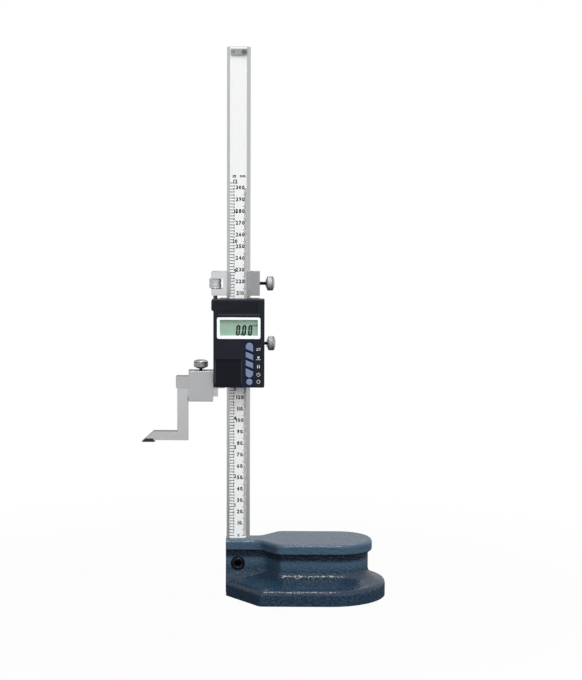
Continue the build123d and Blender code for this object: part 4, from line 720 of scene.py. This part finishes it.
@dataclass(frozen=True)
class Turned:
    """A turned piece: a half section spun round an axis, with a relief on it."""

    origin: Array
    along: Array
    segments: int

    @classmethod
    def on(cls, node: str, axis: Triple, segments: int) -> tuple["Turned", float, float]:
        """Stand in a node's place.

        Args:
            node: the node.
            axis: unit vector along X, Y or Z, away from the node's foot.
            segments: steps round the axis.

        Returns:
            The turned piece, and the node's length and radius.
        """
        (low, high), along = box(node), np.array(axis)
        length = float(abs((high - low) @ along))
        radius = float((high - low)[along == 0].max() / 2)
        return cls((low + high - along * length) / 2, along, segments), length, radius

    def build(self, name: str, section: Array, finish: str, relief: Relief,
              bored: bool = False, grime: PaintedShadeOfRows | None = None) -> bpy.types.Object:
        """Spin the section.

        A point at radius r and height h goes to origin + h axis + (r + relief)
        (cos a across + sin a sideways), where a runs round in equal steps. A
        solid's section starts and ends on the axis, where the ring is one point.

        Args:
            name: the piece's name.
            section: (radius, height) rows, from the low end outwards and up.
            finish: name of the piece's finish.
            relief: change of radius from the angle and the row's (radius, height).
            bored: whether the section is a closed loop that stays off the axis.
            grime: painted shade of a row from its (radius, height), over the relief's.

        Returns:
            The new object.
        """
        across = np.array([1.0, 0.0, 0.0] if self.along[1] else [0.0, 1.0, 0.0])
        sideways = np.cross(self.along, across)
        angles = np.linspace(0, 2 * np.pi, self.segments, endpoint=False)
        rows = section if bored else section[1:-1]
        change = relief(angles[None, :], rows[:, :, None]) * np.ones(self.segments)
        # Painted shade: rows that the relief sinks are darkened by their depth; the
        # optional function of rows adds more.
        groove = -change / max(float(-change.min()), 1e-9)
        if grime is not None:
            groove = np.maximum(groove, grime(rows)[:, None])
        ring = np.cos(angles)[:, None] * across + np.sin(angles)[:, None] * sideways
        out = (rows[:, :1] + change)[..., None] * ring
        points = self.origin + rows[:, 1][:, None, None] * self.along + out
        points = points.reshape(-1, 3)
        here = np.arange(self.segments)
        ahead = np.roll(here, -1)
        lower = (np.arange(len(rows) - (not bored)) * self.segments)[:, None]
        upper = (lower + self.segments) % len(points)
        quads = np.stack([lower + here, lower + ahead, upper + ahead, upper + here], -1)
        faces = quads.reshape(-1, 4).tolist()
        if not bored:
            first, top = len(points), len(points) - self.segments
            ends = self.origin + section[[0, -1], 1][:, None] * self.along
            points = np.vstack([points, ends])
            for *edge, end in ((ahead, here, first), (top + here, top + ahead, first + 1)):
                faces += np.stack([*edge, np.full_like(here, end)], -1).tolist()
        piece = make_piece(name, points, faces, finish, smooth=True)
        values = np.zeros(len(points), dtype=np.float32)
        values[:groove.size] = groove.ravel()
        attribute = piece.data.attributes.new(PAINTED_SHADE_ATTRIBUTE, "FLOAT", "POINT")
        attribute.data.foreach_set("value", values)
        return piece


def densify(corners: Sequence[Pair], step: float) -> Array:
    """Points along a polyline.

    Args:
        corners: the polyline's corners, which stay.
        step: greatest distance between two points.

    Returns:
        The points, one row each.
    """
    rows = [np.array([corners[0]])]
    for start, end in zip(corners[:-1], corners[1:]):
        length = math.hypot(end[0] - start[0], end[1] - start[1])
        share = np.linspace(0, 1, max(1, math.ceil(length / step)) + 1)[1:, None]
        rows.append((1 - share) * np.array(start) + share * np.array(end))
    return np.vstack(rows)


def arc(centre: Pair, radius: float, start: float, end: float, count: int) -> Array:
    """Points on an arc, with its angles in degrees from the outward direction."""
    angles = np.radians(np.linspace(start, end, count))
    return np.array(centre) + radius * np.stack([np.cos(angles), np.sin(angles)], -1)


def zigzag(turns: Array) -> Array:
    """Triangle wave between -0.5 and 0.5, one period per turn."""
    return np.abs((turns % 1.0) - 0.5) * 2 - 0.5


def bell(value: Array, centre: float, width: float) -> Array:
    """Bell curve of height 1: e to the minus square of the distance over the width."""
    return np.exp(-(((value - centre) / width) ** 2))


@dataclass(frozen=True)
class Ridges:
    """Thread, or diamond knurl where it is crossed, between two heights of a piece."""

    pitch: float
    depth: float
    low: float
    high: float
    run: float
    starts: int = 1
    crossed: bool = False

    def __call__(self, angle: Array, row: Array) -> Array:
        """Depth times triangle waves that climb a pitch a turn for each start.

        A crossed wave is the greater of two that climb to either side, and both
        kinds fade out over a run at each end.

        Args:
            angle: angles round the axis.
            row: (radius, height) of each row.

        Returns:
            The change of radius, which is never above 0.
        """
        height, turns = row[:, 1], angle * self.starts / (2 * np.pi)
        wave = zigzag(height / self.pitch - turns)
        if self.crossed:
            wave = np.maximum(wave, zigzag(height / self.pitch + turns))
        inward = np.minimum(height - self.low, self.high - height) / self.run
        return self.depth * (wave - 0.5) * np.clip(inward, 0, 1)


@dataclass(frozen=True)
class ThreadedRod:
    """Rod with a cut thread, in the place of a plain one."""

    node: str
    axis: Triple
    slot: str
    body: str
    pitch: float
    depth: float
    run_out: float
    step: float
    segments: int

    def build(self) -> None:
        """Add the rod in place of its solid."""
        turned, length, radius = Turned.on(self.node, self.axis, self.segments)
        section = densify([(0, 0), (radius, 0), (radius, length), (0, length)], self.step)
        thread = Ridges(self.pitch, self.depth, self.run_out, length - self.run_out,
                        self.pitch)
        piece = turned.build(f"{self.node}_threaded", section, self.slot, thread)
        settle(piece, self.body, self.node)


# ---- lettering
@dataclass(frozen=True)
class Digits:
    """Plain numerals as arrays, made once for each character."""

    boldness: float
    gap: float = 0.14
    narrow: float = 1.0

    @lru_cache(maxsize=None)
    def character(self, sign: str) -> tuple[Array, list[list[int]], float]:
        """Shape of a character that is 1 high.

        Args:
            sign: the character.

        Returns:
            Its corners, its faces and its width.
        """
        curve = bpy.data.curves.new("character", "FONT")
        curve.body = sign
        curve.resolution_u = 2
        curve.offset = self.boldness
        shown = bpy.data.objects.new("character", curve)
        mesh = bpy.data.meshes.new_from_object(shown)
        flat = np.empty(len(mesh.vertices) * 3)
        mesh.vertices.foreach_get("co", flat)
        points = flat.reshape(-1, 3)[:, :2]
        points = points - points.min(axis=0)
        points = points * (self.narrow, 1.0) / points[:, 1].max()
        faces = [list(polygon.vertices) for polygon in mesh.polygons]
        bpy.data.objects.remove(shown)
        bpy.data.curves.remove(curve)
        bpy.data.meshes.remove(mesh)
        return points, faces, points[:, 0].max()

    def write(self, name: str, words: Sequence[tuple[str, float, float, float]],
              surface: float, finish: str) -> bpy.types.Object:
        """One mesh of several words, in front of a face that looks towards the user.

        Args:
            name: the piece's name.
            words: text, x and z of its centre, and its height.
            surface: the face's y.
            finish: name of the piece's finish.

        Returns:
            The new object.
        """
        points, faces, start = [], [], 0
        for text, x, z, height in words:
            parts = [self.character(sign) for sign in text]
            width = sum(part[2] for part in parts) + self.gap * (len(parts) - 1)
            left = x - width * height / 2
            for corners, loops, wide in parts:
                placed = np.full((len(corners), 3), surface - PRINT)
                placed[:, 0] = left + corners[:, 0] * height
                placed[:, 2] = z + (corners[:, 1] - 0.5) * height
                points.append(placed)
                faces += [[start + corner for corner in loop] for loop in loops]
                start += len(corners)
                left += (wide + self.gap) * height
        return make_piece(name, np.vstack(points), faces, finish)


# ---- scale
@dataclass
class ScaleMarks:
    """Marks and numbers on the light plate: metric right, tenths of inches left."""

    zero: float = 51.5 * MM
    inch: float = 25.4 * MM
    millimetres: int = 300
    inches: int = 12
    metric_stroke: float = 0.46 * MM
    metric_lengths: Triple = (2.1 * MM, 3.0 * MM, 3.9 * MM)
    tenth_stroke: float = 0.6 * MM
    tenth_lengths: Triple = (2.8 * MM, 2.8 * MM, 4.0 * MM)
    edge_gap: float = 0.08 * MM
    metric_inset: float = 5.5 * MM
    metric_rise: float = 1.1 * MM
    inch_inset: float = 4.7 * MM
    inch_rise: float = 1.3 * MM
    number_height: float = 3.5 * MM
    tenth_inset: float = 3.6 * MM
    tenth_height: float = 1.9 * MM
    unit_rise: float = 310.5 * MM
    plate: Array = field(default_factory=lambda: box("scale_plate"))

    def build(self) -> None:
        """Add both rows of marks and both rows of numbers."""
        face, ink = self.plate[0, 1], "scale_ink"
        marks = print_prisms("scale_marks", rectangles(self.marks()), face, ink)
        numbers = Digits(0.045, 0.16, 0.92).write("scale_numbers", self.words(), face, ink)
        for piece in (marks, numbers):
            settle(piece, "stand")

    def marks(self) -> Array:
        """Centre, width and height of all marks.

        Returns:
            One row for each mark: first the millimetres, then the tenths of inches.
        """
        rows = []
        for edge, side, count, step, lengths, stroke in (
            (self.plate[1, 0], -1, self.millimetres, MM, self.metric_lengths,
             self.metric_stroke),
            (self.plate[0, 0], 1, 10 * self.inches, self.inch / 10, self.tenth_lengths,
             self.tenth_stroke),
        ):
            steps = np.arange(count + 1)
            long = np.array(lengths)[(steps % 5 == 0) * 1 + (steps % 10 == 0)]
            across = edge + side * (self.edge_gap + long / 2)
            wide = np.full_like(long, stroke)
            rows.append([across, self.zero + steps * step, long, wide])
        return np.hstack(rows).T

    def words(self) -> list[tuple[str, float, float, float]]:
        """Numbers of both rows, with the unit above each row.

        Returns:
            Text, x and z of the centre, and height of each word.
        """
        left, right = self.plate[:, 0]
        rows = ((range(10, self.millimetres + 1, 10), right - self.metric_inset, MM,
                 self.metric_rise),
                (range(1, self.inches + 1), left + self.inch_inset, self.inch,
                 self.inch_rise))
        words = [(str(value), x, value * unit + rise, self.number_height)
                 for values, x, unit, rise in rows for value in values]
        words += [(str(tenth), left + self.tenth_inset, (whole + tenth / 10) * self.inch,
                   self.tenth_height)
                  for whole in range(self.inches) for tenth in range(1, 10)]
        words += [("0", 0.2 * MM, 0.2 * MM, 2.6 * MM),
                  ("in", left + 3.7 * MM, self.unit_rise, 2.4 * MM),
                  ("mm", right - 3.4 * MM, self.unit_rise, 1.8 * MM)]
        return [(text, x, self.zero + up, height) for text, x, up, height in words]


# ---- display unit
class Mark(Enum):
    """Small generic marks, one unit high about their centres.

    Each holds its bars as (x, z, width, height), its other four-cornered shapes,
    and the angle in degrees that its ring leaves open, if it has one.
    """

    OPPOSED_ARROWS = (((-0.1, 0.22, 0.9, 0.11), (0.1, -0.22, 0.9, 0.11)),
                      (((0.25, 0.0), (0.65, 0.22), (0.65, 0.24), (0.25, 0.44)),
                       ((-0.25, 0.0), (-0.65, -0.22), (-0.65, -0.24), (-0.25, -0.44))),
                      None)
    TRIANGLE_ON_LINE = (((0.0, -0.45, 1.3, 0.11),),
                        (((-0.01, -0.3), (0.01, -0.3), (0.38, 0.4), (-0.38, 0.4)),), None)
    TWO_BARS = (((-0.25, 0.0, 0.2, 0.85), (0.25, 0.0, 0.2, 0.85)), (), None)
    OPEN_RING = (((0.0, 0.3, 0.12, 0.5),), (), 50.0)
    RING = ((), (), 0.0)


@dataclass
class DisplayMarks:
    """Digits on the display and marks beside the buttons."""

    digit_height: float = 9.3 * MM
    digit_width: float = 3.6 * MM
    digit_pitch: float = 5.1 * MM
    first_digit: float = -1.3 * MM
    digit_base: float = 228.2 * MM
    stroke: float = 1.55 * MM
    joint: float = 0.1 * MM
    slant: float = 0.09
    point_back: float = 1.05 * MM
    point_rise: float = 0.3 * MM
    unit: tuple[str, float, float, float] = ("mm", 14.4 * MM, 236.2 * MM, 1.45 * MM)
    mark_x: float = 17.4 * MM
    mark_size: float = 3.1 * MM
    ring_edges: Pair = (0.39, 0.51)
    mark_places: tuple[tuple[Mark, float], ...] = (
        (Mark.OPPOSED_ARROWS, 216.1 * MM), (Mark.TRIANGLE_ON_LINE, 208.6 * MM),
        (Mark.TWO_BARS, 201.2 * MM), (Mark.OPEN_RING, 194.3 * MM), (Mark.RING, 188.2 * MM),
    )
    segments: tuple[tuple[float, float, bool], ...] = (
        (0.5, 1.0, True), (1.0, 0.75, False), (1.0, 0.25, False),
        (0.5, 0.0, True), (0.0, 0.25, False), (0.0, 0.75, False),
    )

    def build(self) -> None:
        """Add the digits, the unit and the marks."""
        glass, shell = (box(node)[0, 1] for node in ("display_glass", "housing_front"))
        digits = print_prisms("display_digits", self.digits(), glass, "digit_ink")
        unit = Digits(0.02).write("display_unit", [self.unit], glass, "digit_ink")
        marks = np.concatenate([self._outlines(mark) + (self.mark_x, height)
                                for mark, height in self.mark_places])
        bars = print_prisms("button_marks", marks, shell, "label_ink")
        settle(digits, "slider")
        settle(unit, "slider")
        settle(bars, "slider")

    def digits(self) -> Array:
        """Reading 0.00: six hexagonal segments a digit, and a point after the first.

        A digit stands on its lower left corner, and its height shifts it to the
        right by the slant.

        Returns:
            Outlines of the segments and the point.
        """
        wide, high = self.digit_width - self.stroke, self.digit_height - self.stroke
        zero = np.stack([
            self._hexagon((wide if level else high / 2) + self.joint, self.stroke, level)
            + (across * wide, up * high) for across, up, level in self.segments])
        zero[..., 0] += self.slant * zero[..., 1]
        shifts = self.first_digit + self.digit_pitch * np.arange(3)
        point = self._hexagon(0.9 * self.stroke, 0.9 * self.stroke, True)
        point += (shifts[1] - self.point_back, self.digit_base + self.point_rise)
        return np.concatenate([*(zero + (shift, self.digit_base) for shift in shifts),
                               point[None]])

    @staticmethod
    def _hexagon(length: float, width: float, level: bool) -> Array:
        """Bar with pointed ends about its centre.

        Args:
            length: from point to point.
            width: across the bar.
            level: whether it lies level instead of upright.

        Returns:
            Its six corners.
        """
        half, edge = length / 2, width / 2
        flat = max(half - 0.45 * edge, 0.0)
        outline = np.array([(-half, 0), (-flat, -edge), (flat, -edge),
                            (half, 0), (flat, edge), (-flat, edge)])
        return outline if level else outline[:, ::-1]

    def _outlines(self, mark: Mark) -> Array:
        """Shapes of one mark at its real size; a ring is 24 quads.

        Args:
            mark: the mark.

        Returns:
            Four-cornered outlines.
        """
        bars, others, opening = mark.value
        shapes = [*rectangles(bars)] if bars else []
        shapes += [np.array(other) for other in others]
        if opening is not None:
            ends = (90 + opening / 2, 450 - opening / 2)
            inner, outer = (arc((0.0, 0.0), edge, *ends, 25) for edge in self.ring_edges)
            shapes += [*np.stack([inner[:-1], inner[1:], outer[1:], outer[:-1]], axis=1)]
        return np.stack(shapes) * self.mark_size


# ---- clamps and screw
@dataclass
class ClampScrew:
    """Knurled knob on a threaded stem."""

    knob: str
    stem: str
    axis: Triple
    hub_radius: float = 3.0 * MM
    hub_length: float = 1.1 * MM
    bore_radius: float = 1.475 * MM
    bore_depth: float = 5.0 * MM
    heel_round: float = 1.2 * MM
    rim_round: float = 1.6 * MM
    rim_from: float = 4.8 * MM
    dome: float = 0.7 * MM
    crown_from: float = 4.4 * MM
    groove_depth: float = 0.25 * MM
    groove_radius: float = 4.3 * MM
    groove_width: float = 0.35 * MM
    teeth: int = 30
    knurl_pitch: float = 1.3 * MM
    knurl_depth: float = 0.32 * MM
    # Widths of the painted shade in the crown's groove and at the knurl's ends.
    oil_width: float = 0.45 * MM
    oil_band: float = 0.36 * MM

    def build(self) -> None:
        """Add the knob and the stem in place of their solids."""
        turned, length, radius = Turned.on(self.knob, self.axis, 240)
        low, high = self.hub_length + 0.5 * MM, length - self.dome - 0.8 * self.rim_round
        knurl = Ridges(self.knurl_pitch, self.knurl_depth, low, high, KNURL_RUN,
                       self.teeth, crossed=True)

        def relief(angle: Array, row: Array) -> Array:
            """Knurl on the rim, none in the bore or on the hub."""
            return knurl(angle, row) * (row[:, 0] > self.rim_from)

        piece = turned.build(f"{self.knob}_knurled", self.section(radius, length),
                             "knob_chrome", relief, grime=self._grime)
        settle(piece, self.knob, self.knob)
        ThreadedRod(self.stem, self.axis, "black_oxide", self.stem, 0.5 * MM, 0.22 * MM,
                    run_out=0.1 * MM, step=0.09 * MM, segments=64).build()

    def _grime(self, rows: Array) -> Array:
        """Painted shade in the crown's groove, at both ends of the knurl and round the hub.

        Args:
            rows: (radius, height) rows of the section.

        Returns:
            Darkness of each row.
        """
        radius, height = rows.T
        crown = height > self.crown_from
        ring = bell(radius, self.groove_radius, self.oil_width) * crown
        heel = bell(height, self.hub_length + 0.4 * MM, self.oil_band)
        toe = bell(height, height.max() - self.dome - 0.75 * self.rim_round, self.oil_band)
        rims = 0.9 * np.maximum(heel, toe) * (radius > self.rim_from)
        hub = (radius < 1.25 * self.hub_radius) & ~crown
        return np.maximum(np.maximum(ring, rims), hub)

    def section(self, radius: float, length: float) -> Array:
        """Half section of the knob.

        Args:
            radius: the knob's radius.
            length: the knob's length.

        Returns:
            Rows from the bottom of the blind bore round the rim to the crown.
        """
        rim, waist = length - self.dome, radius - self.heel_round
        start = [(0.0, self.bore_depth), (self.bore_radius, self.bore_depth),
                 (self.bore_radius, 0.0), (self.hub_radius, 0.0), (waist, self.hub_length)]
        heel = arc((waist, self.hub_length + self.heel_round), self.heel_round, -80, 0, 12)
        top = (radius - self.rim_round, rim - self.rim_round)
        band = densify([heel[-1], (radius, top[1])], 0.11 * MM)
        rounded = arc(top, self.rim_round, 0, 78, 9)
        across = top[0] * (1 - np.linspace(0, 1, 28)[1:])
        dome = rim + self.dome * (1 - (across / radius) ** 2)
        dome -= self.groove_depth * bell(across, self.groove_radius, self.groove_width)
        crown = np.stack([across, dome], axis=-1)
        crown[-1] = (0.0, length)
        return np.vstack([densify(start, 0.5 * MM), heel, band[1:], rounded[1:], crown])


@dataclass
class BeamClamp:
    """Socket screw with a dished head, low in the base."""

    node: str = "beam_clamp_screw"
    shank_radius: float = 3.0 * MM
    head_height: float = 5.0 * MM
    chamfer: float = 0.6 * MM
    rim_width: float = 0.35 * MM
    dish_radius: float = 3.5 * MM
    dish_depth: float = 0.8 * MM
    lip: float = 0.3 * MM
    socket_flat: float = 2.5 * MM
    socket_depth: float = 2.5 * MM
    near: float = 0.01 * MM

    def build(self) -> None:
        """Add the screw in place of its solid."""
        turned, length, radius = Turned.on(self.node, TO_THE_USER, 96)
        corner = self.socket_flat / math.cos(math.pi / 6)
        rim, bed = radius - self.chamfer, length - self.dish_depth
        floor, neck = length - self.socket_depth, length - self.head_height
        corners = [(0, 0), (self.shank_radius, 0), (self.shank_radius, neck),
                   (radius, neck), (radius, length - self.chamfer), (rim, length),
                   (rim - self.rim_width, length), (self.dish_radius, bed),
                   (corner + self.lip, bed + 0.35 * MM),
                   (corner + 0.05 * MM, bed + self.lip), (corner, bed), (corner, floor),
                   (0, floor)]

        def relief(angle: Array, row: Array) -> Array:
            """Flats of the socket: apothem over the cosine from each side's middle.

            Args:
                angle: angles round the axis.
                row: (radius, height) of each row.

            Returns:
                The change of radius.
            """
            side = (angle % (math.pi / 3)) - math.pi / 6
            wall = np.abs(row[:, 0] - corner) < self.near
            wall = wall & (row[:, 1] > floor - self.near)
            return (self.socket_flat / np.cos(side) - corner) * wall

        def grime(rows: Array) -> Array:
            """Painted shade in the socket, in the dish's bottom and down the head's side.

            Args:
                rows: (radius, height) rows of the section.

            Returns:
                Darkness of each row.
            """
            across, up = rows.T
            dish = bell(across, self.dish_radius, self.lip) * (up > bed - MM)
            socket = across < corner + 0.02 * MM
            return np.maximum(dish, socket | (up < length - self.chamfer))

        piece = turned.build("beam_clamp_screw_dished", densify(corners, 0.3 * MM),
                             "clamp_screw_steel", relief, grime=grime)
        settle(piece, "stand", self.node)


@dataclass
class FineAdjustment:
    """Threaded rod in the lug, and the knurled nut with a waist that runs on it."""

    nut: str = "fine_adjust_nut"
    nut_bore: float = 2.3 * MM
    chamfer: float = 0.6 * MM
    teeth: int = 36
    knurl_pitch: float = 0.95 * MM
    knurl_depth: float = 0.25 * MM
    groove_width: float = 0.9 * MM
    groove_depth: float = 0.5 * MM
    groove_slope: float = 0.1 * MM

    def build(self) -> None:
        """Add the rod and the nut in place of their solids."""
        ThreadedRod("fine_adjust_screw", UPWARDS, "screw_steel", "slider", 0.7 * MM,
                    0.35 * MM, run_out=0.2 * MM, step=0.12 * MM, segments=72).build()
        turned, height, radius = Turned.on(self.nut, UPWARDS, 216)
        rim, waist = radius - self.chamfer, radius - self.groove_depth
        low, high = ((height + side * self.groove_width) / 2 for side in (-1, 1))
        corners = [(self.nut_bore, 0), (rim, 0), (radius, self.chamfer), (radius, low),
                   (waist, low + self.groove_slope), (waist, high - self.groove_slope),
                   (radius, high), (radius, height - self.chamfer), (rim, height),
                   (self.nut_bore, height), (self.nut_bore, 0)]
        knurl = Ridges(self.knurl_pitch, self.knurl_depth, self.chamfer,
                       height - self.chamfer, KNURL_RUN, self.teeth, crossed=True)

        def relief(angle: Array, row: Array) -> Array:
            """Knurl on the outside, none in the bore or the groove."""
            return knurl(angle, row) * (row[:, 0] > radius - 0.5 * self.groove_depth)

        piece = turned.build(f"{self.nut}_knurled", densify(corners, 0.14 * MM)[:-1],
                             "nut_steel", relief, bored=True)
        settle(piece, self.nut, self.nut)


# ---- studio
@dataclass
class Studio:
    """White floor, soft lamps, and the camera."""

    camera_place: Triple = (0.045, -1.800, 0.4519)
    tilt: float = 7.28
    roll: float = 0.27
    lens: float = 112.04
    sensor_height: float = 36.0
    lamps: tuple[tuple[str, Triple, Pair, float], ...] = (
        ("key_lamp", (0.34, -1.45, 2.85), (0.34, 1.3), 24.0),
        ("fill_lamp", (-0.14, -1.45, 2.85), (0.20, 1.2), 11.0),
        ("back_lamp", (0.4, 1.3, 1.9), (0.9, 0.9), 6.0),
    )
    look_at: Triple = (0.0, 0.0, 0.2)
    gloss_side: Triple = (0.4, -0.75, 0.5)
    gloss_levels: Pair = (0.60, 0.95)
    light_side: Triple = (0.4, -0.65, 0.65)
    light_levels: Pair = (0.0, 1.95)
    floor_reach: float = 6.0
    floor_tint: Colour = srgb(56, 56, 56)

    def build(self) -> None:
        """Set the stage."""
        self._floor()
        self._world()
        for lamp in self.lamps:
            self._lamp(*lamp)
        self._camera()
        bpy.context.scene.view_settings.view_transform = "Standard"

    def _floor(self) -> None:
        """Flat floor that the camera sees as white; polished metal sees painted shade on it
        near the gauge, and mostly white further off.
        """
        material = bpy.data.materials.new("floor_white")
        graph = Graph(material)
        matt = graph.node("BsdfDiffuse", {"Color": self.floor_tint})
        glow = graph.node("Emission", {"Color": WHITE, "Strength": 1.0})
        distance = graph.node("VectorMath", {0: graph.place()}, "Value",
                              operation="LENGTH")
        seen = self._seen(graph) * (0.975 + distance.above(0.15, 0.5) * 0.025)
        # Painted shade: near the gauge, reflections see the dark floor instead of white.
        mirrored = graph.ray("Glossy") * (0.03 + distance.above(0.1, 0.8) * 0.72)
        values = {0: seen.apply("MAXIMUM", mirrored), 1: matt, 2: glow}
        blend = graph.node("MixShader", values)
        graph.node("OutputMaterial", {"Surface": blend})
        mesh = bpy.data.meshes.new("floor")
        points = np.array([(-1, -1, 0), (1, -1, 0), (1, 1, 0), (-1, 1, 0)])
        mesh.from_pydata((points * self.floor_reach).tolist(), [], [[0, 1, 2, 3]])
        mesh.materials.append(material)
        show("floor", mesh)

    @staticmethod
    def _seen(graph: Graph) -> Socket:
        """1 where the camera looks, also through the clear pane."""
        return graph.ray("Camera").apply("MAXIMUM", graph.ray("Transmission"))

    def _world(self) -> None:
        """White where it is seen, and light that rises towards one side elsewhere."""
        world = bpy.context.scene.world = bpy.data.worlds.new("studio")
        graph = Graph(world)
        gloss = self._level(graph, self.gloss_side, self.gloss_levels)
        light = self._level(graph, self.light_side, self.light_levels)
        glossy = graph.ray("Glossy")
        levels = (glossy * gloss + (1 - glossy) * light, 1.0)
        lit, white = (graph.node("Background", {"Color": WHITE, "Strength": level})
                      for level in levels)
        values = {0: self._seen(graph), 1: lit, 2: white}
        blend = graph.node("MixShader", values)
        graph.node("OutputWorld", {"Surface": blend})

    @staticmethod
    def _level(graph: Graph, side: Triple, levels: Pair) -> Socket:
        """Brightness that rises smoothly towards a side.

        Args:
            graph: the world's graph.
            side: direction in which it rises.
            levels: the lowest and the highest brightness.

        Returns:
            The brightness.
        """
        direction = graph.node("TexCoord", output="Generated")
        share = graph.node("VectorMath", {0: direction, 1: side}, "Value",
                           operation="DOT_PRODUCT").above(-0.5, 0.8)
        return levels[0] + share * (levels[1] - levels[0])

    def _lamp(self, name: str, place: Triple, size: Pair, power: float) -> None:
        """Soft rectangular lamp that points at the gauge.

        Args:
            name: the lamp's name.
            place: where it hangs.
            size: its width, and its length in its own upward direction.
            power: its power in watts.
        """
        data = bpy.data.lights.new(name, "AREA")
        data.shape = "RECTANGLE"
        data.size, data.size_y = size
        data.energy = power
        turn = (Vector(self.look_at) - Vector(place)).to_track_quat("-Z", "Y")
        turn = turn.to_matrix().to_4x4()
        show(name, data).matrix_world = Matrix.Translation(place) @ turn

    def _camera(self) -> None:
        """Camera a little above the middle, looking slightly down."""
        data = bpy.data.cameras.new("camera")
        data.sensor_fit = "VERTICAL"
        data.sensor_height = self.sensor_height
        data.lens = self.lens
        data.clip_end = 20.0
        turn = Matrix.Rotation(math.radians(90 - self.tilt), 4, "X")
        roll = Matrix.Rotation(math.radians(self.roll), 4, "Z")
        camera = bpy.context.scene.camera = show("camera", data)
        camera.matrix_world = Matrix.Translation(self.camera_place) @ turn @ roll


def main() -> None:
    """Dress the solids, add the fine detail and set the stage."""
    logging.basicConfig(level=logging.INFO, format="%(name)s: %(message)s")
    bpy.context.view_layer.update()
    dress_nodes()
    sub_assemblies = {
        "scale marks": ScaleMarks(),
        "display marks": DisplayMarks(),
        "slider clamp": ClampScrew("slider_clamp_knob", "slider_clamp_stem", TO_THE_RIGHT),
        "block clamp": ClampScrew("block_clamp_knob", "block_clamp_stem", TO_THE_RIGHT),
        "scriber clamp": ClampScrew("scriber_clamp_knob", "scriber_clamp_stem", UPWARDS),
        "fine adjustment": FineAdjustment(),
        "beam clamp": BeamClamp(),
        "studio": Studio(),
    }
    for name, sub_assembly in sub_assemblies.items():
        sub_assembly.build()
        LOG.info("built %s", name)


if __name__ == "__main__":
    main()
